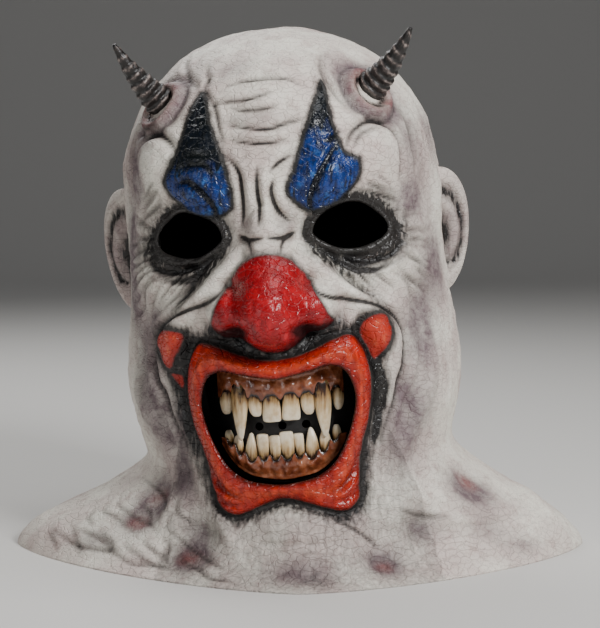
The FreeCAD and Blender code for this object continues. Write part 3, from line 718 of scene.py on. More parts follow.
uneven = np.array([
    noise.fractal(Vector(p) / 26.0, 1.0, 2.0, 3) * 1.1 + noise.fractal(
        Vector(p) / 7.0, 1.0, 2.0, 3,
    ) * 0.35
    for p in rest
])
plain = 1 - np.clip((lip_depth + 1) / 2, 0, 1) - np.clip(nose_height / 6, 0, 1)
lift += uneven * np.clip(plain, 0.15, 1) * np.clip(rest_z / 6.0, 0, 1)

# ---- rubber skin: painted areas ------------------------------------------------------
# Each area is brushed in a crisp outline: how far inside it a point lies is kept on the
# skin, so that the paint can end sharply between one vertex and the next.

RIGHT_MARK = ((-34, 290), (-40, 284), (-45, 272), (-48, 260), (-53, 248), (-58, 237), (-54, 227),
              (-46, 221), (-37, 217), (-27, 216), (-20, 219), (-17, 228), (-20, 244), (-24, 259),
              (-28, 274), (-31, 286))
LEFT_MARK = ((36, 292), (40, 276), (43, 262), (46, 250), (54, 244), (54, 233), (46, 223),
             (35, 217), (25, 216), (17, 222), (13, 230), (17, 240), (21, 250), (25, 264), (31, 280))
RIGHT_CHEEK = (
    (-72, 149), (-63, 151), (-54, 149), (-55, 142), (-60, 135), (-66, 127), (-72, 133), (-75, 142),
)
LEFT_CHEEK = ((51, 150), (59, 153), (65, 147), (66, 139), (63, 131), (59, 126), (55, 134), (51, 142))
RIGHT_STREAK = ((-66, 124), (-61, 123), (-60, 117), (-63, 115))

mark_depth = np.maximum(
    depth_inside(smooth_line(RIGHT_MARK, True), rest_x, rest_z),
    depth_inside(smooth_line(LEFT_MARK, True), rest_x, rest_z),
)
cheek_depth = np.maximum.reduce([
    depth_inside(smooth_line(RIGHT_CHEEK, True), rest_x, rest_z),
    depth_inside(smooth_line(LEFT_CHEEK, True), rest_x, rest_z),
    depth_inside(smooth_line(RIGHT_STREAK, True), rest_x, rest_z),
])
mark_depth[~ahead_of_ears] = -30.0
cheek_depth[~ahead_of_ears] = -30.0
lift += 1.0 * np.clip(mark_depth / 3.0, 0, 1)
mark_black = np.where(
    rest_x < 0, np.clip((rest_z - 236) / 24, 0, 1), np.clip((rest_z - 254) / 22, 0, 1),
)

fold(1.9, 2.4, 1.2, [(-50, 236), (-42, 238), (-34, 232), (-29, 222), (-31, 216)])
fold(1.6, 1.6, 1.0, [(-46, 246), (-38, 247), (-31, 246), (-26, 238)])
fold(1.4, 1.2, 0.9, [(-44, 252), (-36, 252), (-28, 251)])
fold(1.9, 2.4, 1.2, [(44, 256), (36, 244), (29, 232), (26, 222), (28, 216)])
fold(1.5, 1.4, 0.9, [(46, 263), (41, 257), (34, 255)])

# ---- rubber skin: turned to its pose, walled and closed --------------------------------

lift = np.maximum(lift, -(0.8 + rest_z / 10.0))
shaped = rest + outward * np.clip(lift, -6.0, 14.0)[:, None]
shaped[:, 1] -= ahead
shaped[:, 2] = np.maximum(shaped[:, 2], 0.0)
hem = rest_z < 0.01
shaped[hem] = rest[hem]
shaped = posed(shaped)

skin_layers = {
    "lip_depth": lip_depth,
    "nose_depth": nose_paint,
    "cheek_depth": cheek_depth,
    "mark_depth": mark_depth,
    "mark_black": mark_black,
    "ink": np.clip(ink, 0, 1.6),
    "soot": np.clip(soot, 0, 1.6),
    "mauve": np.clip(mauve, 0, 1.4),
    "rose": np.clip(rose, 0, 1.4),
    "crest": bell(share - 0.52, 0.17) * (lip_depth > 0),
    "lip_inside": np.clip((share - 0.8) / 0.16, 0, 1) * (lip_depth > 0),
    "wash": np.clip(wash, 0, 1.4),
    "inside": np.zeros(len(rest)),
}
layers = {name: skin.verts.layers.float.new(name) for name in skin_layers}
skin.verts.ensure_lookup_table()
for name, values in skin_layers.items():
    layer = layers[name]
    for vertex, value in zip(skin.verts, values.tolist()):
        vertex[layer] = value
for vertex, place in zip(skin.verts, shaped):
    vertex.co = place


def rim_edges(sheet, rim):
    return [e for e in sheet.edges if e.is_boundary and e.verts[0] in rim and e.verts[1] in rim]


def turn_in(sheet, rim, step, blackness):
    """Extrudes a rim by one more loop, places it with step, and returns the new rim."""
    made = bmesh.ops.extrude_edge_only(sheet, edges=rim_edges(sheet, rim))["geom"]
    loop = {v for v in made if isinstance(v, bmesh.types.BMVert)}
    for v in loop:
        v.co = step(v.co)
        v[layers["inside"]] = blackness
    return loop


inner = form_mesh(COLUMNS, INNER_ROWS, WALL)
cut_openings(inner, WALL, 0)
sunk = KDTree(len(rest))
for index, place in enumerate(rest):
    sunk.insert(place, index)
sunk.balance()
kept_lift = np.clip(lift, -6.0, 14.0)
for vertex in inner.verts:
    lowest = min(kept_lift[n] for _, n, _ in sunk.find_n(vertex.co, 60))
    inward = Vector((-vertex.co.x, -vertex.co.y, 0.0)).normalized()
    in_bib = min(vertex.co.z / 3.0, 1.0) * max(0.0, 1.0 - vertex.co.z / 60.0)
    vertex.co = posed(vertex.co + inward * (max(0.0, -lowest) * (1 + 2 * in_bib) + 3.5 * in_bib))
bmesh.ops.reverse_faces(inner, faces=inner.faces)
inner_mesh = bpy.data.meshes.new("inner")
inner.to_mesh(inner_mesh)
outer_rims = []
mouth_centre = Vector(posed((0, -112, 92)))
forward = Vector(posed((0, -100, 150)) - posed((0, 0, 150))).normalized()


def lip_turn(co):
    return co - 1.6 * forward + 0.04 * (mouth_centre - co)


def to_backing(co):
    """Straight back on to the arc that the gums and the backing stand on."""
    across = (co - mouth_centre) - forward * (co - mouth_centre).dot(forward)
    side = across.x
    reach = math.sqrt(max(60.0**2 - side**2, 100.0))
    ahead_now = (co - mouth_centre).dot(forward)
    return co - forward * (ahead_now - (reach - 77.0))


mouth_rim = turn_in(skin, rims[0], lip_turn, 0.0)
mouth_rim = turn_in(skin, mouth_rim, lambda co: co - 3.0 * forward, 0.8)
mouth_rim = turn_in(skin, mouth_rim, lambda co: co - 4.0 * forward, 1.0)
mouth_rim = turn_in(skin, mouth_rim, to_backing, 1.0)
mouth_rim = turn_in(skin, mouth_rim, lambda co: co + (co - mouth_centre).normalized() * WALL, 1.0)
outer_rims.append(mouth_rim)
for rim in rims[1:]:
    outer_rims.append(turn_in(skin, rim, lambda co: co - WALL * forward, 1.0))

known = set(skin.verts)
skin.from_mesh(inner_mesh)
bpy.data.meshes.remove(inner_mesh)
inner.free()
for vertex in skin.verts:
    if vertex not in known:
        vertex[layers["inside"]] = 1.0
        vertex[layers["lip_depth"]] = -30.0
        vertex[layers["nose_depth"]] = -30.0
        vertex[layers["cheek_depth"]] = -30.0
        vertex[layers["mark_depth"]] = -30.0

hem_edges = [e for e in skin.edges if e.is_boundary and max(v.co.z for v in e.verts) < 0.5]
bmesh.ops.bridge_loops(skin, edges=hem_edges)


def boundary_loops(sheet):
    """The open loops left in a mesh, each as a list of edges."""
    left = dict.fromkeys(e for e in sheet.edges if e.is_boundary)
    loops = []
    while left:
        stack = [next(iter(left))]
        del left[stack[0]]
        loop = []
        while stack:
            edge = stack.pop()
            loop.append(edge)
            for v in edge.verts:
                for other in v.link_edges:
                    if other in left:
                        del left[other]
                        stack.append(other)
        loops.append(loop)
    return loops


def loop_centre(loop):
    total = Vector()
    for edge in loop:
        total += edge.verts[0].co + edge.verts[1].co
    return total / (2 * len(loop))


bmesh.ops.holes_fill(
    skin, edges=[e for e in skin.edges if e.is_boundary and min(v.co.z for v in e.verts) > 300], sides=0
)
loops = boundary_loops(skin)
while len(loops) > 1:
    first = loops.pop()
    partner = min(loops, key=lambda other: (loop_centre(other) - loop_centre(first)).length)
    loops.remove(partner)
    bmesh.ops.bridge_loops(skin, edges=first + partner)


EAR_CENTRE = {-1: (103.0, 10.0, 196.0), 1: (98.0, 10.0, 196.0)}
EAR_FLARE = math.radians(62.0)
for side in (-1, 1):
    tints = []
    flap = bmesh.new()
    bmesh.ops.create_icosphere(flap, subdivisions=5, radius=1.0)
    for vertex in flap.verts:
        thick, deep, high = vertex.co
        deep *= 1 + 0.16 * high
        round_rim = math.hypot(deep / 1.05, high)
        front = max(0.0, -thick)
        helix = math.exp(-(((round_rim - 0.84) / 0.10) ** 2))
        groove = math.exp(-(((round_rim - 0.62) / 0.11) ** 2)) * (1 if high > -0.55 else 0.3)
        bowl = math.exp(-(((deep + 0.18) / 0.36) ** 2) - (((high + 0.12) / 0.34) ** 2))
        fold_rise = math.exp(-(((deep - 0.12) / 0.13) ** 2) - (((high - 0.1) / 0.5) ** 2))
        wave = noise.noise(Vector((deep * 2.2, high * 3.1, side * 4.0)))
        relief = 1.9 * helix - 3.0 * groove - 6.5 * bowl + 1.5 * fold_rise + 1.6 * wave
        local = Vector((6.5 * thick - front**0.5 * relief * 0.9, 22.0 * deep, 40.0 * high))
        local.x += 3.0 * deep * deep - 2.5 * high
        turned = Vector((
            local.x * math.cos(EAR_FLARE) - local.y * math.sin(EAR_FLARE),
            local.x * math.sin(EAR_FLARE) + local.y * math.cos(EAR_FLARE),
            local.z,
        ))
        out, back, up = EAR_CENTRE[side]
        at = Vector((turned.x - out, turned.y + back, turned.z + up))
        vertex.co = posed((-side * at.x, at.y, at.z))
        # painted shade: black in the ear's bowl and groove, mauve over its front
        tints.append((min(1.3, 1.6 * front * (bowl + 0.7 * groove)), 0.5 * front))
    if side > 0:
        bmesh.ops.reverse_faces(flap, faces=flap.faces)
    flap_mesh = bpy.data.meshes.new("flap")
    flap.to_mesh(flap_mesh)
    flap.free()
    first_new = len(skin.verts)
    skin.from_mesh(flap_mesh)
    bpy.data.meshes.remove(flap_mesh)
    skin.verts.ensure_lookup_table()
    for vertex, (dark, purple) in zip(skin.verts[first_new:], tints):
        for area in ("lip_depth", "nose_depth", "cheek_depth", "mark_depth"):
            vertex[layers[area]] = -30.0
        vertex[layers["soot"]] = dark
        vertex[layers["mauve"]] = purple

for vertex in skin.verts:
    vertex.co *= 0.001
for face in skin.faces:
    face.smooth = True


def finished(name, built, body="root"):
    """The bmesh as an object that stands at the origin and rides on the mask's one body."""
    mesh = bpy.data.meshes.new(name)
    built.to_mesh(mesh)
    built.free()
    piece = bpy.data.objects.new(name, mesh)
    bpy.context.scene.collection.objects.link(piece)
    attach(piece, body)
    return piece


skin_piece = finished("painted_latex_skin", skin)
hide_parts("latex_skin")


# ---- paint on the latex ----------------------------------------------------------------
# Latex paint on cast latex: ivory base, umber wash and painted shade in the folds, black and mauve airbrush
# with painted shade in the hollows, brushed red and blue with painted highlights, and a clear gloss over
# them.


def linear(hex_colour):
    """An sRGB hex colour as linear RGBA."""
    parts = [int(hex_colour[n : n + 2], 16) / 255 for n in (1, 3, 5)]
    return [c / 12.92 if c <= 0.04045 else ((c + 0.055) / 1.055) ** 2.4 for c in parts] + [1.0]


def add(material, kind, inputs=(), stops=(), **settings):
    """Adds a node with its settings, inputs as values or sockets, and a ramp's colour stops."""
    node = material.node_tree.nodes.new(kind)
    for number, (position, hex_colour) in enumerate(stops):
        if number > 1:
            node.color_ramp.elements.new(1.0)
        node.color_ramp.elements[number].position = position
        node.color_ramp.elements[number].color = linear(hex_colour)
    for key, value in settings.items():
        setattr(node, key, value)
    for key, value in dict(inputs).items():
        if isinstance(value, bpy.types.NodeSocket):
            material.node_tree.links.new(value, node.inputs[key])
        else:
            node.inputs[key].default_value = value
    return node


def new_material(name):
    """A material with its shader and the place of each point, in metres."""
    material = bpy.data.materials.new(name)
    material.use_nodes = True
    shader = material.node_tree.nodes["Principled BSDF"]
    place = add(material, "ShaderNodeTexCoord").outputs["Object"]
    return material, shader, place


paint, shader, place = new_material("airbrushed latex")
masks = {
    name: add(paint, "ShaderNodeAttribute", attribute_name=name).outputs["Fac"] for name in skin_layers
}
# Noise is sized for what it stands for: 900 per metre is skin grain about 1 mm across, 420
# pores of 2 mm, 260 bristle marks of 4 mm, 110 sponge mottling of 9 mm, 26 clouds of 40 mm.
PATTERNS = {
    "grain": ((1, 1, 1), 900, 3, 0.5),
    "cloud": ((1, 1, 1), 26, 4, 0.5),
    "mottle": ((1, 1, 1), 110, 5, 0.7),
    "streaks": ((1, 1, 0.22), 420, 3, 0.5),
    "brushed": ((1, 1, 0.35), 260, 4, 0.5),
}
for name, (stretch, per_metre, detail, roughness) in PATTERNS.items():
    stretched = add(paint, "ShaderNodeMapping", {"Vector": place, "Scale": stretch}).outputs[0]
    facts = {"Vector": stretched, "Scale": per_metre, "Detail": detail, "Roughness": roughness}
    masks[name] = add(paint, "ShaderNodeTexNoise", facts).outputs["Fac"]
masks["pores"] = add(
    paint, "ShaderNodeTexVoronoi", {"Vector": place, "Scale": 420}, feature="F1"
).outputs["Distance"]
wander = add(paint, "ShaderNodeTexNoise", {"Vector": place, "Scale": 90, "Detail": 3}).outputs["Color"]
flattened = add(paint, "ShaderNodeMapping", {"Vector": place, "Scale": (1.0, 1.0, 1.7)}).outputs[0]
warped = add(
    paint, "ShaderNodeMix", {0: 0.012, 4: flattened, 5: wander}, data_type="VECTOR"
).outputs[1]
masks["cracks"] = add(
    paint, "ShaderNodeTexVoronoi", {"Vector": warped, "Scale": 150}, feature="DISTANCE_TO_EDGE"
).outputs["Distance"]


def cover(*sprays):
    """How far a coat covers: the product of masks, each stretched from low..high to least..most."""
    total = None
    for mask, low, high, least, most in sprays:
        source = masks[mask] if isinstance(mask, str) else mask
        facts = {0: source, 1: low, 2: high, 3: least, 4: most}
        value = add(paint, "ShaderNodeMapRange", facts, clamp=True).outputs[0]
        if total is not None:
            value = add(paint, "ShaderNodeMath", {0: total, 1: value}, operation="MULTIPLY").outputs[0]
        total = value
    return total


def mixed(first, share, second):
    """The first mask plus a share of the second."""
    facts = {0: masks[second] if isinstance(second, str) else second, 1: share}
    facts[2] = masks[first] if isinstance(first, str) else first
    return add(paint, "ShaderNodeMath", facts, operation="MULTIPLY_ADD").outputs[0]


def coat(under, top, amount):
    """One coat of paint, a hex colour or another paint, laid over what is there."""
    facts = {0: amount, 6: under, 7: linear(top) if isinstance(top, str) else top}
    return add(paint, "ShaderNodeMix", facts, data_type="RGBA").outputs[2]


def area(mask, edge, soft, rough):
    """Full inside an outlined area and nothing outside it, with an edge that wanders."""
    middle = edge + rough / 2
    return cover((mixed(mask, rough, "mottle"), middle - soft, middle + soft, 0.0, 1.0))


# black airbrush and painted shade, broken up by streaks
black_spray_and_shade = cover(("soot", 0.0, 1.6, 0.0, 1.6), ("streaks", 0.3, 0.65, 0.55, 1.35))
colour = coat(linear("#EEE9DC"), "#D3C4BC", cover(("cloud", 0.38, 0.62, 0.0, 1.0)))
colour = coat(colour, "#B49C96", cover(("mottle", 0.5, 0.74, 0.0, 0.7)))
colour = coat(
    colour, "#54443F", cover(("cracks", 0.05, 0.0, 0.0, 1.0), ("cloud", 0.42, 0.62, 0.0, 0.34)),
)
colour = coat(colour, "#6E5C56", cover(("grain", 0.56, 0.68, 0.0, 0.35)))
# painted shade: mauve on the sides and in the hollows, umber wash and dark ink in the folds, black in the
# deepest hollows
colour = coat(
    colour, "#5F4C53", cover(("mauve", 0.0, 0.75, 0.0, 0.92), ("mottle", 0.3, 0.6, 0.65, 1.0)),
)
colour = coat(colour, "#8E443C", cover(("rose", 0.1, 1.1, 0.0, 0.75), ("mottle", 0.35, 0.6, 0.5, 1.0)))
colour = coat(colour, "#5B4A46", cover(("wash", 0.04, 0.8, 0.0, 0.6)))
colour = coat(colour, "#120D0C", cover(("ink", 0.12, 0.75, 0.0, 0.95)))
colour = coat(colour, "#0B090A", cover((black_spray_and_shade, 0.10, 0.85, 0.0, 0.97)))

# lips: black brushed edge with a painted shadow round the roll, scarlet, a painted orange highlight along
# the crest, painted shade in the creases and at the outer edge, nearly black at the mouth
# black outline brushed round the lips, and painted shadow where the lip roll stands off the face
lip_edge_and_shadow = (mixed("lip_depth", 9.0, "streaks"), -4.0, 1.5, 0.0, 1.0)
colour = coat(colour, "#0A0808", cover(lip_edge_and_shadow, ("lip_depth", 3.5, 0.2, 0.0, 0.97)))
lip_red = coat(linear("#A3150A"), "#CC2A12", cover(("brushed", 0.35, 0.65, 0.0, 1.0)))
# painted highlight: lighter orange along the crest of the lip roll
lip_red = coat(
    lip_red, "#EE5B34", cover(("crest", 0.0, 1.0, 0.0, 1.0), ("brushed", 0.35, 0.7, 0.2, 0.85)),
)
# painted shade: dark red in the creases and towards the lip's outer edge
lip_red = coat(lip_red, "#4A0A08", cover(("ink", 0.05, 0.8, 0.0, 0.8)))
lip_red = coat(lip_red, "#5E0E0A", cover(("lip_depth", 3.0, 0.3, 0.0, 0.75)))
lip_red = coat(lip_red, "#1A0504", cover(("lip_inside", 0.0, 1.0, 0.0, 0.9)))
lip_fill = area("lip_depth", 0.6, 0.35, 2.2)
colour = coat(colour, lip_red, lip_fill)

# spots on the cheeks: black edge, red darker towards the rim, a painted orange highlight in the middle
cheek_fill = area("cheek_depth", 0.6, 0.5, 3.0)
colour = coat(colour, "#0D0A0B", cover((mixed("cheek_depth", 5.0, "streaks"), -3.6, 0.8, 0.0, 0.95)))
cheek_red = coat(linear("#8E1A12"), "#C23420", cover(("cheek_depth", 0.5, 4.5, 0.0, 1.0)))
# painted highlight: light orange strokes towards the middle of each spot
cheek_highlight = cover(("brushed", 0.5, 0.75, 0.0, 1.0), ("cheek_depth", 2.0, 5.0, 0.0, 0.8))
cheek_red = coat(cheek_red, "#E87A50", cheek_highlight)
colour = coat(colour, cheek_red, cheek_fill)

# nose: crimson, with painted shade: black in the nostrils, a dark ring round its foot and deeper red near
# its edge
nose_fill = area("nose_depth", 0.0, 0.5, 1.6)
# painted shade: a dark ring round the foot of the nose
colour = coat(colour, "#0E0A0B", cover((mixed("nose_depth", 4.0, "streaks"), -3.0, 1.6, 0.0, 0.85)))
nose_red = coat(linear("#7E0812"), "#B0121C", cover(("mottle", 0.35, 0.65, 0.0, 1.0)))
nose_red = coat(nose_red, "#C9202A", cover(("brushed", 0.55, 0.75, 0.0, 0.7)))
nose_red = coat(nose_red, "#1C0608", cover(("soot", 0.3, 1.0, 0.0, 0.95)))
nose_red = coat(nose_red, "#4A0810", cover(("nose_depth", 3.5, 0.2, 0.0, 0.6)))
colour = coat(colour, nose_red, nose_fill)

# marks over the eyes: blue with light strokes as painted highlights, painted shade in the folds, black
# towards the tip and all round
mark_fill = area("mark_depth", 1.9, 0.7, 4.5)
mark_ring = area("mark_depth", -0.9, 1.3, 5.0)
blue = coat(linear("#0A1A48"), "#1A3C84", cover(("brushed", 0.36, 0.62, 0.0, 1.0)))
# painted highlight: light blue strokes
blue = coat(blue, "#3F7FC4", cover(("mottle", 0.54, 0.72, 0.0, 1.0), ("brushed", 0.4, 0.6, 0.2, 1.0)))
blue = coat(blue, "#080C16", cover(("streaks", 0.48, 0.68, 0.0, 0.85)))
# painted shade in the folds of the marks
blue = coat(blue, "#070B12", cover((mixed("ink", 1.0, "wash"), 0.1, 0.9, 0.0, 0.96)))
blue = coat(blue, "#0A1012", cover(("mark_depth", 4.2, 1.4, 0.0, 0.75)))
blue = coat(blue, "#090E0F", cover((mixed("mark_black", 1.1, "brushed"), 0.72, 1.05, 0.0, 0.97)))
colour = coat(colour, "#090909", cover((mark_ring, 0.0, 1.0, 0.0, 0.97)))
colour = coat(colour, blue, mark_fill)
colour = coat(colour, "#060505", masks["inside"])

# gloss over the bright paints, less over the black, none inside
glossy = mixed(mixed(mixed(lip_fill, 1.0, nose_fill), 1.0, mark_fill), 1.0, cheek_fill)
shine = cover((glossy, 0.0, 1.0, 0.52, 0.2))
shine = mixed(shine, 1.0, cover(("mottle", 0.3, 0.7, 0.0, 0.12)))
for amount, level in ((cover((black_spray_and_shade, 0.2, 0.9, 0.0, 1.0)), 0.34), (masks["inside"], 0.95)):
    shine = add(paint, "ShaderNodeMix", {0: amount, 2: shine, 3: level}, data_type="FLOAT").outputs[0]
height = cover(("grain", 0.0, 1.0, 0.0, 0.5))
for share, relief in (
    (1.1, masks["mottle"]), (0.4, cover(("pores", 0.0, 0.25, 0.0, 1.0))), (0.6, masks["streaks"]),
    (0.9, cover(("cracks", 0.0, 0.08, 0.0, 1.0))),
):
    height = mixed(height, share, relief)
bump = add(paint, "ShaderNodeBump", {"Height": height, "Strength": 0.55, "Distance": 0.0008}).outputs[0]
shader.inputs["Specular IOR Level"].default_value = 0.42
paint.node_tree.links.new(colour, shader.inputs["Base Color"])
paint.node_tree.links.new(shine, shader.inputs["Roughness"])
paint.node_tree.links.new(bump, shader.inputs["Normal"])
skin_piece.data.materials.append(paint)

# ---- gums ------------------------------------------------------------------------------
# Two rubber gums cemented in the mouth, wet looking, with a swelling over each root and
# a scalloped edge round each tooth.

ARCH_CENTRE = -35.0
ARCH_BACK = 60.0
GUM_FRONT = 68.0
UPPER_TEETH = {
    "upper_right_molar": (-32.4, 113.0, 98.0, 7.4, "peg", 1.0),
    "upper_right_fang": (-24.2, 114.0, 82.5, 9.6, "fang", 3.4),
    "upper_right_lateral": (-14.8, 110.0, 96.5, 7.8, "peg", 1.0),
    "upper_right_incisor": (-4.9, 110.0, 93.0, 10.4, "incisor", 1.0),
    "upper_left_incisor": (6.6, 111.0, 93.5, 10.4, "incisor", 1.0),
    "upper_left_lateral": (16.3, 110.5, 96.0, 7.8, "peg", 1.0),
    "upper_left_fang": (25.3, 113.0, 82.0, 9.6, "fang", 3.4),
    "upper_left_molar": (33.8, 112.0, 97.0, 6.4, "peg", 1.0),
}
LOWER_TEETH = {
    "lower_right_back_molar": (-32.6, 80.0, 88.5, 4.8, "peg", -1.0),
    "lower_right_molar": (-26.8, 74.0, 85.5, 5.4, "peg", -1.0),
    "lower_right_fang": (-19.2, 69.5, 87.0, 7.6, "fang", -1.0),
    "lower_right_lateral": (-11.6, 70.5, 86.0, 6.4, "incisor", -1.0),
    "lower_right_incisor": (-4.6, 70.0, 85.0, 6.4, "incisor", -1.0),
    "lower_left_incisor": (2.9, 70.0, 87.0, 7.4, "incisor", -1.0),
    "lower_left_lateral": (10.0, 71.0, 85.5, 5.6, "incisor", -1.0),
    "lower_left_fang": (17.2, 69.5, 88.5, 7.6, "fang", -1.0),
    "lower_left_molar": (25.0, 73.0, 85.5, 6.4, "peg", -1.0),
    "lower_left_back_molar": (31.6, 79.0, 88.5, 5.0, "peg", -1.0),
}


def mouth_edge(x, up):
    """Height of the mouth's wall above or below the gums, at an x."""
    near = np.abs(mouth_outline[:, 0] - x) < 4.0
    picked = mouth_outline[near & ((mouth_outline[:, 1] - 93.0) * up > 0)]
    order = np.argsort(picked[:, 0])
    return float(np.interp(x, picked[order, 0], picked[order, 1]))


def gum(name, teeth, up):
    """A gum as a sheet on an arc, curled over at its toothed edge."""
    built = bmesh.new()
    bmesh.ops.create_grid(built, x_segments=150, y_segments=30, size=1.0)
    near_tooth = built.verts.layers.float.new("tooth")
    edge_line = [(t[0], t[1] - up * 4.5) for t in teeth.values()]
    for vertex in built.verts:
        x = 38.5 * vertex.co.x
        down = (vertex.co.y + 1) / 2
        base = float(np.interp(x, [p[0] for p in edge_line], [p[1] for p in edge_line]))
        root, crown = 0.0, 0.0
        for at, neck, tip, width, shape, forward in teeth.values():
            gap = (x - at) / (0.5 * width)
            root += math.exp(-(gap**2) * 1.1) * (1.5 if shape == "fang" else 1.0)
            crown += math.exp(-((gap / 0.85) ** 4))
        edge = base + up * 3.4 * min(crown, 1.0)
        wall = mouth_edge(x, up) - up * 0.5
        rise = max(0.0, (down - 0.18) / 0.82)
        z = edge + (wall - edge) * rise
        fade = math.sin(math.pi * min(rise * 1.1 + 0.12, 1.0))
        lumps = 0.5 * noise.noise(Vector((x / 3.0, z / 3.0, up)))
        curl = min(down / 0.18, 1.0)
        radius = ARCH_BACK + 0.6 + (GUM_FRONT - 0.9 - ARCH_BACK) * math.sin(curl * math.pi / 2)
        radius += (1.5 * root * fade + lumps) * curl
        z += up * 1.6 * (1 - math.sin(curl * math.pi / 2))
        angle = math.asin(x / (GUM_FRONT + 1.0))
        vertex.co = posed((radius * math.sin(angle), ARCH_CENTRE - radius * math.cos(angle), z))
        vertex.co *= 0.001
        vertex[near_tooth] = min(crown, 1.0) * math.exp(-((rise / 0.16) ** 2))
        vertex[near_tooth] += 0.7 * math.exp(-((rise / 0.05) ** 2))
    bmesh.ops.recalc_face_normals(built, faces=built.faces)
    middle = posed((0.0, -200.0, 92.0)) * 0.001
    first = built.faces[len(built.faces) // 2]
    if (Vector(middle) - first.calc_center_median()).dot(first.normal) < 0:
        bmesh.ops.reverse_faces(built, faces=built.faces)
    bmesh.ops.solidify(built, geom=built.faces, thickness=0.0012)
    for face in built.faces:
        face.smooth = True
    piece = finished(name + "_flesh", built)
    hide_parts(name)
    return piece


gum_paint, shader, place = new_material("wet gum rubber")
blotch = add(gum_paint, "ShaderNodeTexNoise", {"Vector": place, "Scale": 160, "Detail": 4}).outputs["Fac"]
fine = add(gum_paint, "ShaderNodeTexNoise", {"Vector": place, "Scale": 900, "Detail": 3}).outputs["Fac"]
near_tooth = add(gum_paint, "ShaderNodeAttribute", attribute_name="tooth").outputs["Fac"]


colour = add(
    gum_paint, "ShaderNodeValToRGB", {0: blotch},
    stops=((0.3, "#5A2A1A"), (0.5, "#8A4A2C"), (0.62, "#A5684A"), (0.78, "#7A3A26"),),
).outputs["Color"]
darkness = add(
    gum_paint, "ShaderNodeMapRange", {0: near_tooth, 1: 0.08, 2: 0.8, 3: 0.0, 4: 0.97}, clamp=True
).outputs[0]
colour = add(
    gum_paint, "ShaderNodeMix", {0: darkness, 6: colour, 7: linear("#120A08")}, data_type="RGBA"
).outputs[2]
gum_paint.node_tree.links.new(colour, shader.inputs["Base Color"])
shader.inputs["Roughness"].default_value = 0.22
shader.inputs["Coat Weight"].default_value = 0.5
shader.inputs["Coat Roughness"].default_value = 0.12
bump = add(gum_paint, "ShaderNodeBump", {"Height": fine, "Strength": 0.5, "Distance": 0.0004}).outputs[0]
gum_paint.node_tree.links.new(bump, shader.inputs["Normal"])
for name, teeth, up in (("upper_gum", UPPER_TEETH, 1), ("lower_gum", LOWER_TEETH, -1)):
    gum(name, teeth, up).data.materials.append(gum_paint)

# ---- teeth -----------------------------------------------------------------------------
# Eighteen teeth cast one by one in resin and set in the gums, stained brown at the neck.

TOOTH_SHAPES = {
    "incisor": (
        (-0.25, 0.5), (0.0, 0.70), (0.2, 0.82), (0.5, 0.94), (0.8, 1.0), (0.94, 0.96), (1.0, 0.80),
    ),
    "peg": ((-0.25, 0.55), (0.0, 0.78), (0.2, 0.94), (0.45, 1.0), (0.7, 0.9), (0.9, 0.66), (1.0, 0.36)),
    "fang": ((-0.15, 0.6), (0.0, 0.9), (0.15, 1.0), (0.35, 0.98), (0.6, 0.8), (0.85, 0.46), (1.0, 0.2)),
}


def next_ring(built, ring):
    """Extrudes a ring of vertices and returns the new ring in the same order."""
    edges = [e for e in built.edges if e.verts[0] in ring and e.verts[1] in ring]
    made = bmesh.ops.extrude_edge_only(built, edges=edges)["geom"]
    partners = [v for v in made if isinstance(v, bmesh.types.BMVert)]
    above = {v: [e.other_vert(v) for e in v.link_edges] for v in partners}
    return [next(v for v in partners if old in above[v]) for old in ring]


def tooth(name, across, neck, tip, width, shape, forward):
    """One tooth: a ring extruded from root to tip, worn and a little crooked."""
    rng = np.random.default_rng(sum(map(ord, name)))
    crook = rng.uniform(-0.8, 0.8)
    twist = rng.uniform(-0.15, 0.15)
    radius = ARCH_BACK + 4.0 + forward
    turn = math.asin(across / radius)
    built = bmesh.new()
    along_layer = built.verts.layers.float.new("along")
    ring = bmesh.ops.create_circle(built, segments=20, radius=1.0)["verts"]
    angles = [math.atan2(v.co.y, v.co.x) for v in ring]
    for step, (along, share) in enumerate(TOOTH_SHAPES[shape]):
        if step:
            ring = next_ring(built, ring)
        taper = min(share + 0.18, 1.0) * (1 - 0.32 * max(along, 0.0))
        for vertex, angle in zip(ring, angles):
            x = 0.565 * width * share * math.copysign(abs(math.cos(angle)) ** 0.8, math.cos(angle))
            y = 3.0 * taper * math.copysign(abs(math.sin(angle)) ** 0.8, math.sin(angle))
            x, y = x + twist * y, y - twist * x
            x += crook * max(along, 0.0) ** 2
            y -= 0.5 * math.sin(math.pi * max(along, 0.0))
            z = neck + (tip - neck) * along
            z += 0.35 * noise.noise(Vector((x / 2.0, along * 3.0, across))) * (along > 0.7)
            grooves = 0.16 * noise.noise(Vector((x * 0.9, 0.0, across * 3.0)))
            x *= 1 + grooves
            y *= 1 + grooves
            y -= radius
            vertex.co = (
                x * math.cos(turn) - y * math.sin(turn),
                x * math.sin(turn) + y * math.cos(turn) + ARCH_CENTRE,
                z,
            )
            vertex.co = Vector(posed(vertex.co)) * 0.001
            vertex[along_layer] = along
    bmesh.ops.holes_fill(built, edges=[e for e in built.edges if e.is_boundary], sides=0)
    bmesh.ops.recalc_face_normals(built, faces=built.faces)
    for face in built.faces:
        face.smooth = True
    piece = finished(name + "_crown", built)
    soften = piece.modifiers.new("soften", "SUBSURF")
    soften.levels = soften.render_levels = 2
    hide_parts(name)
    return piece


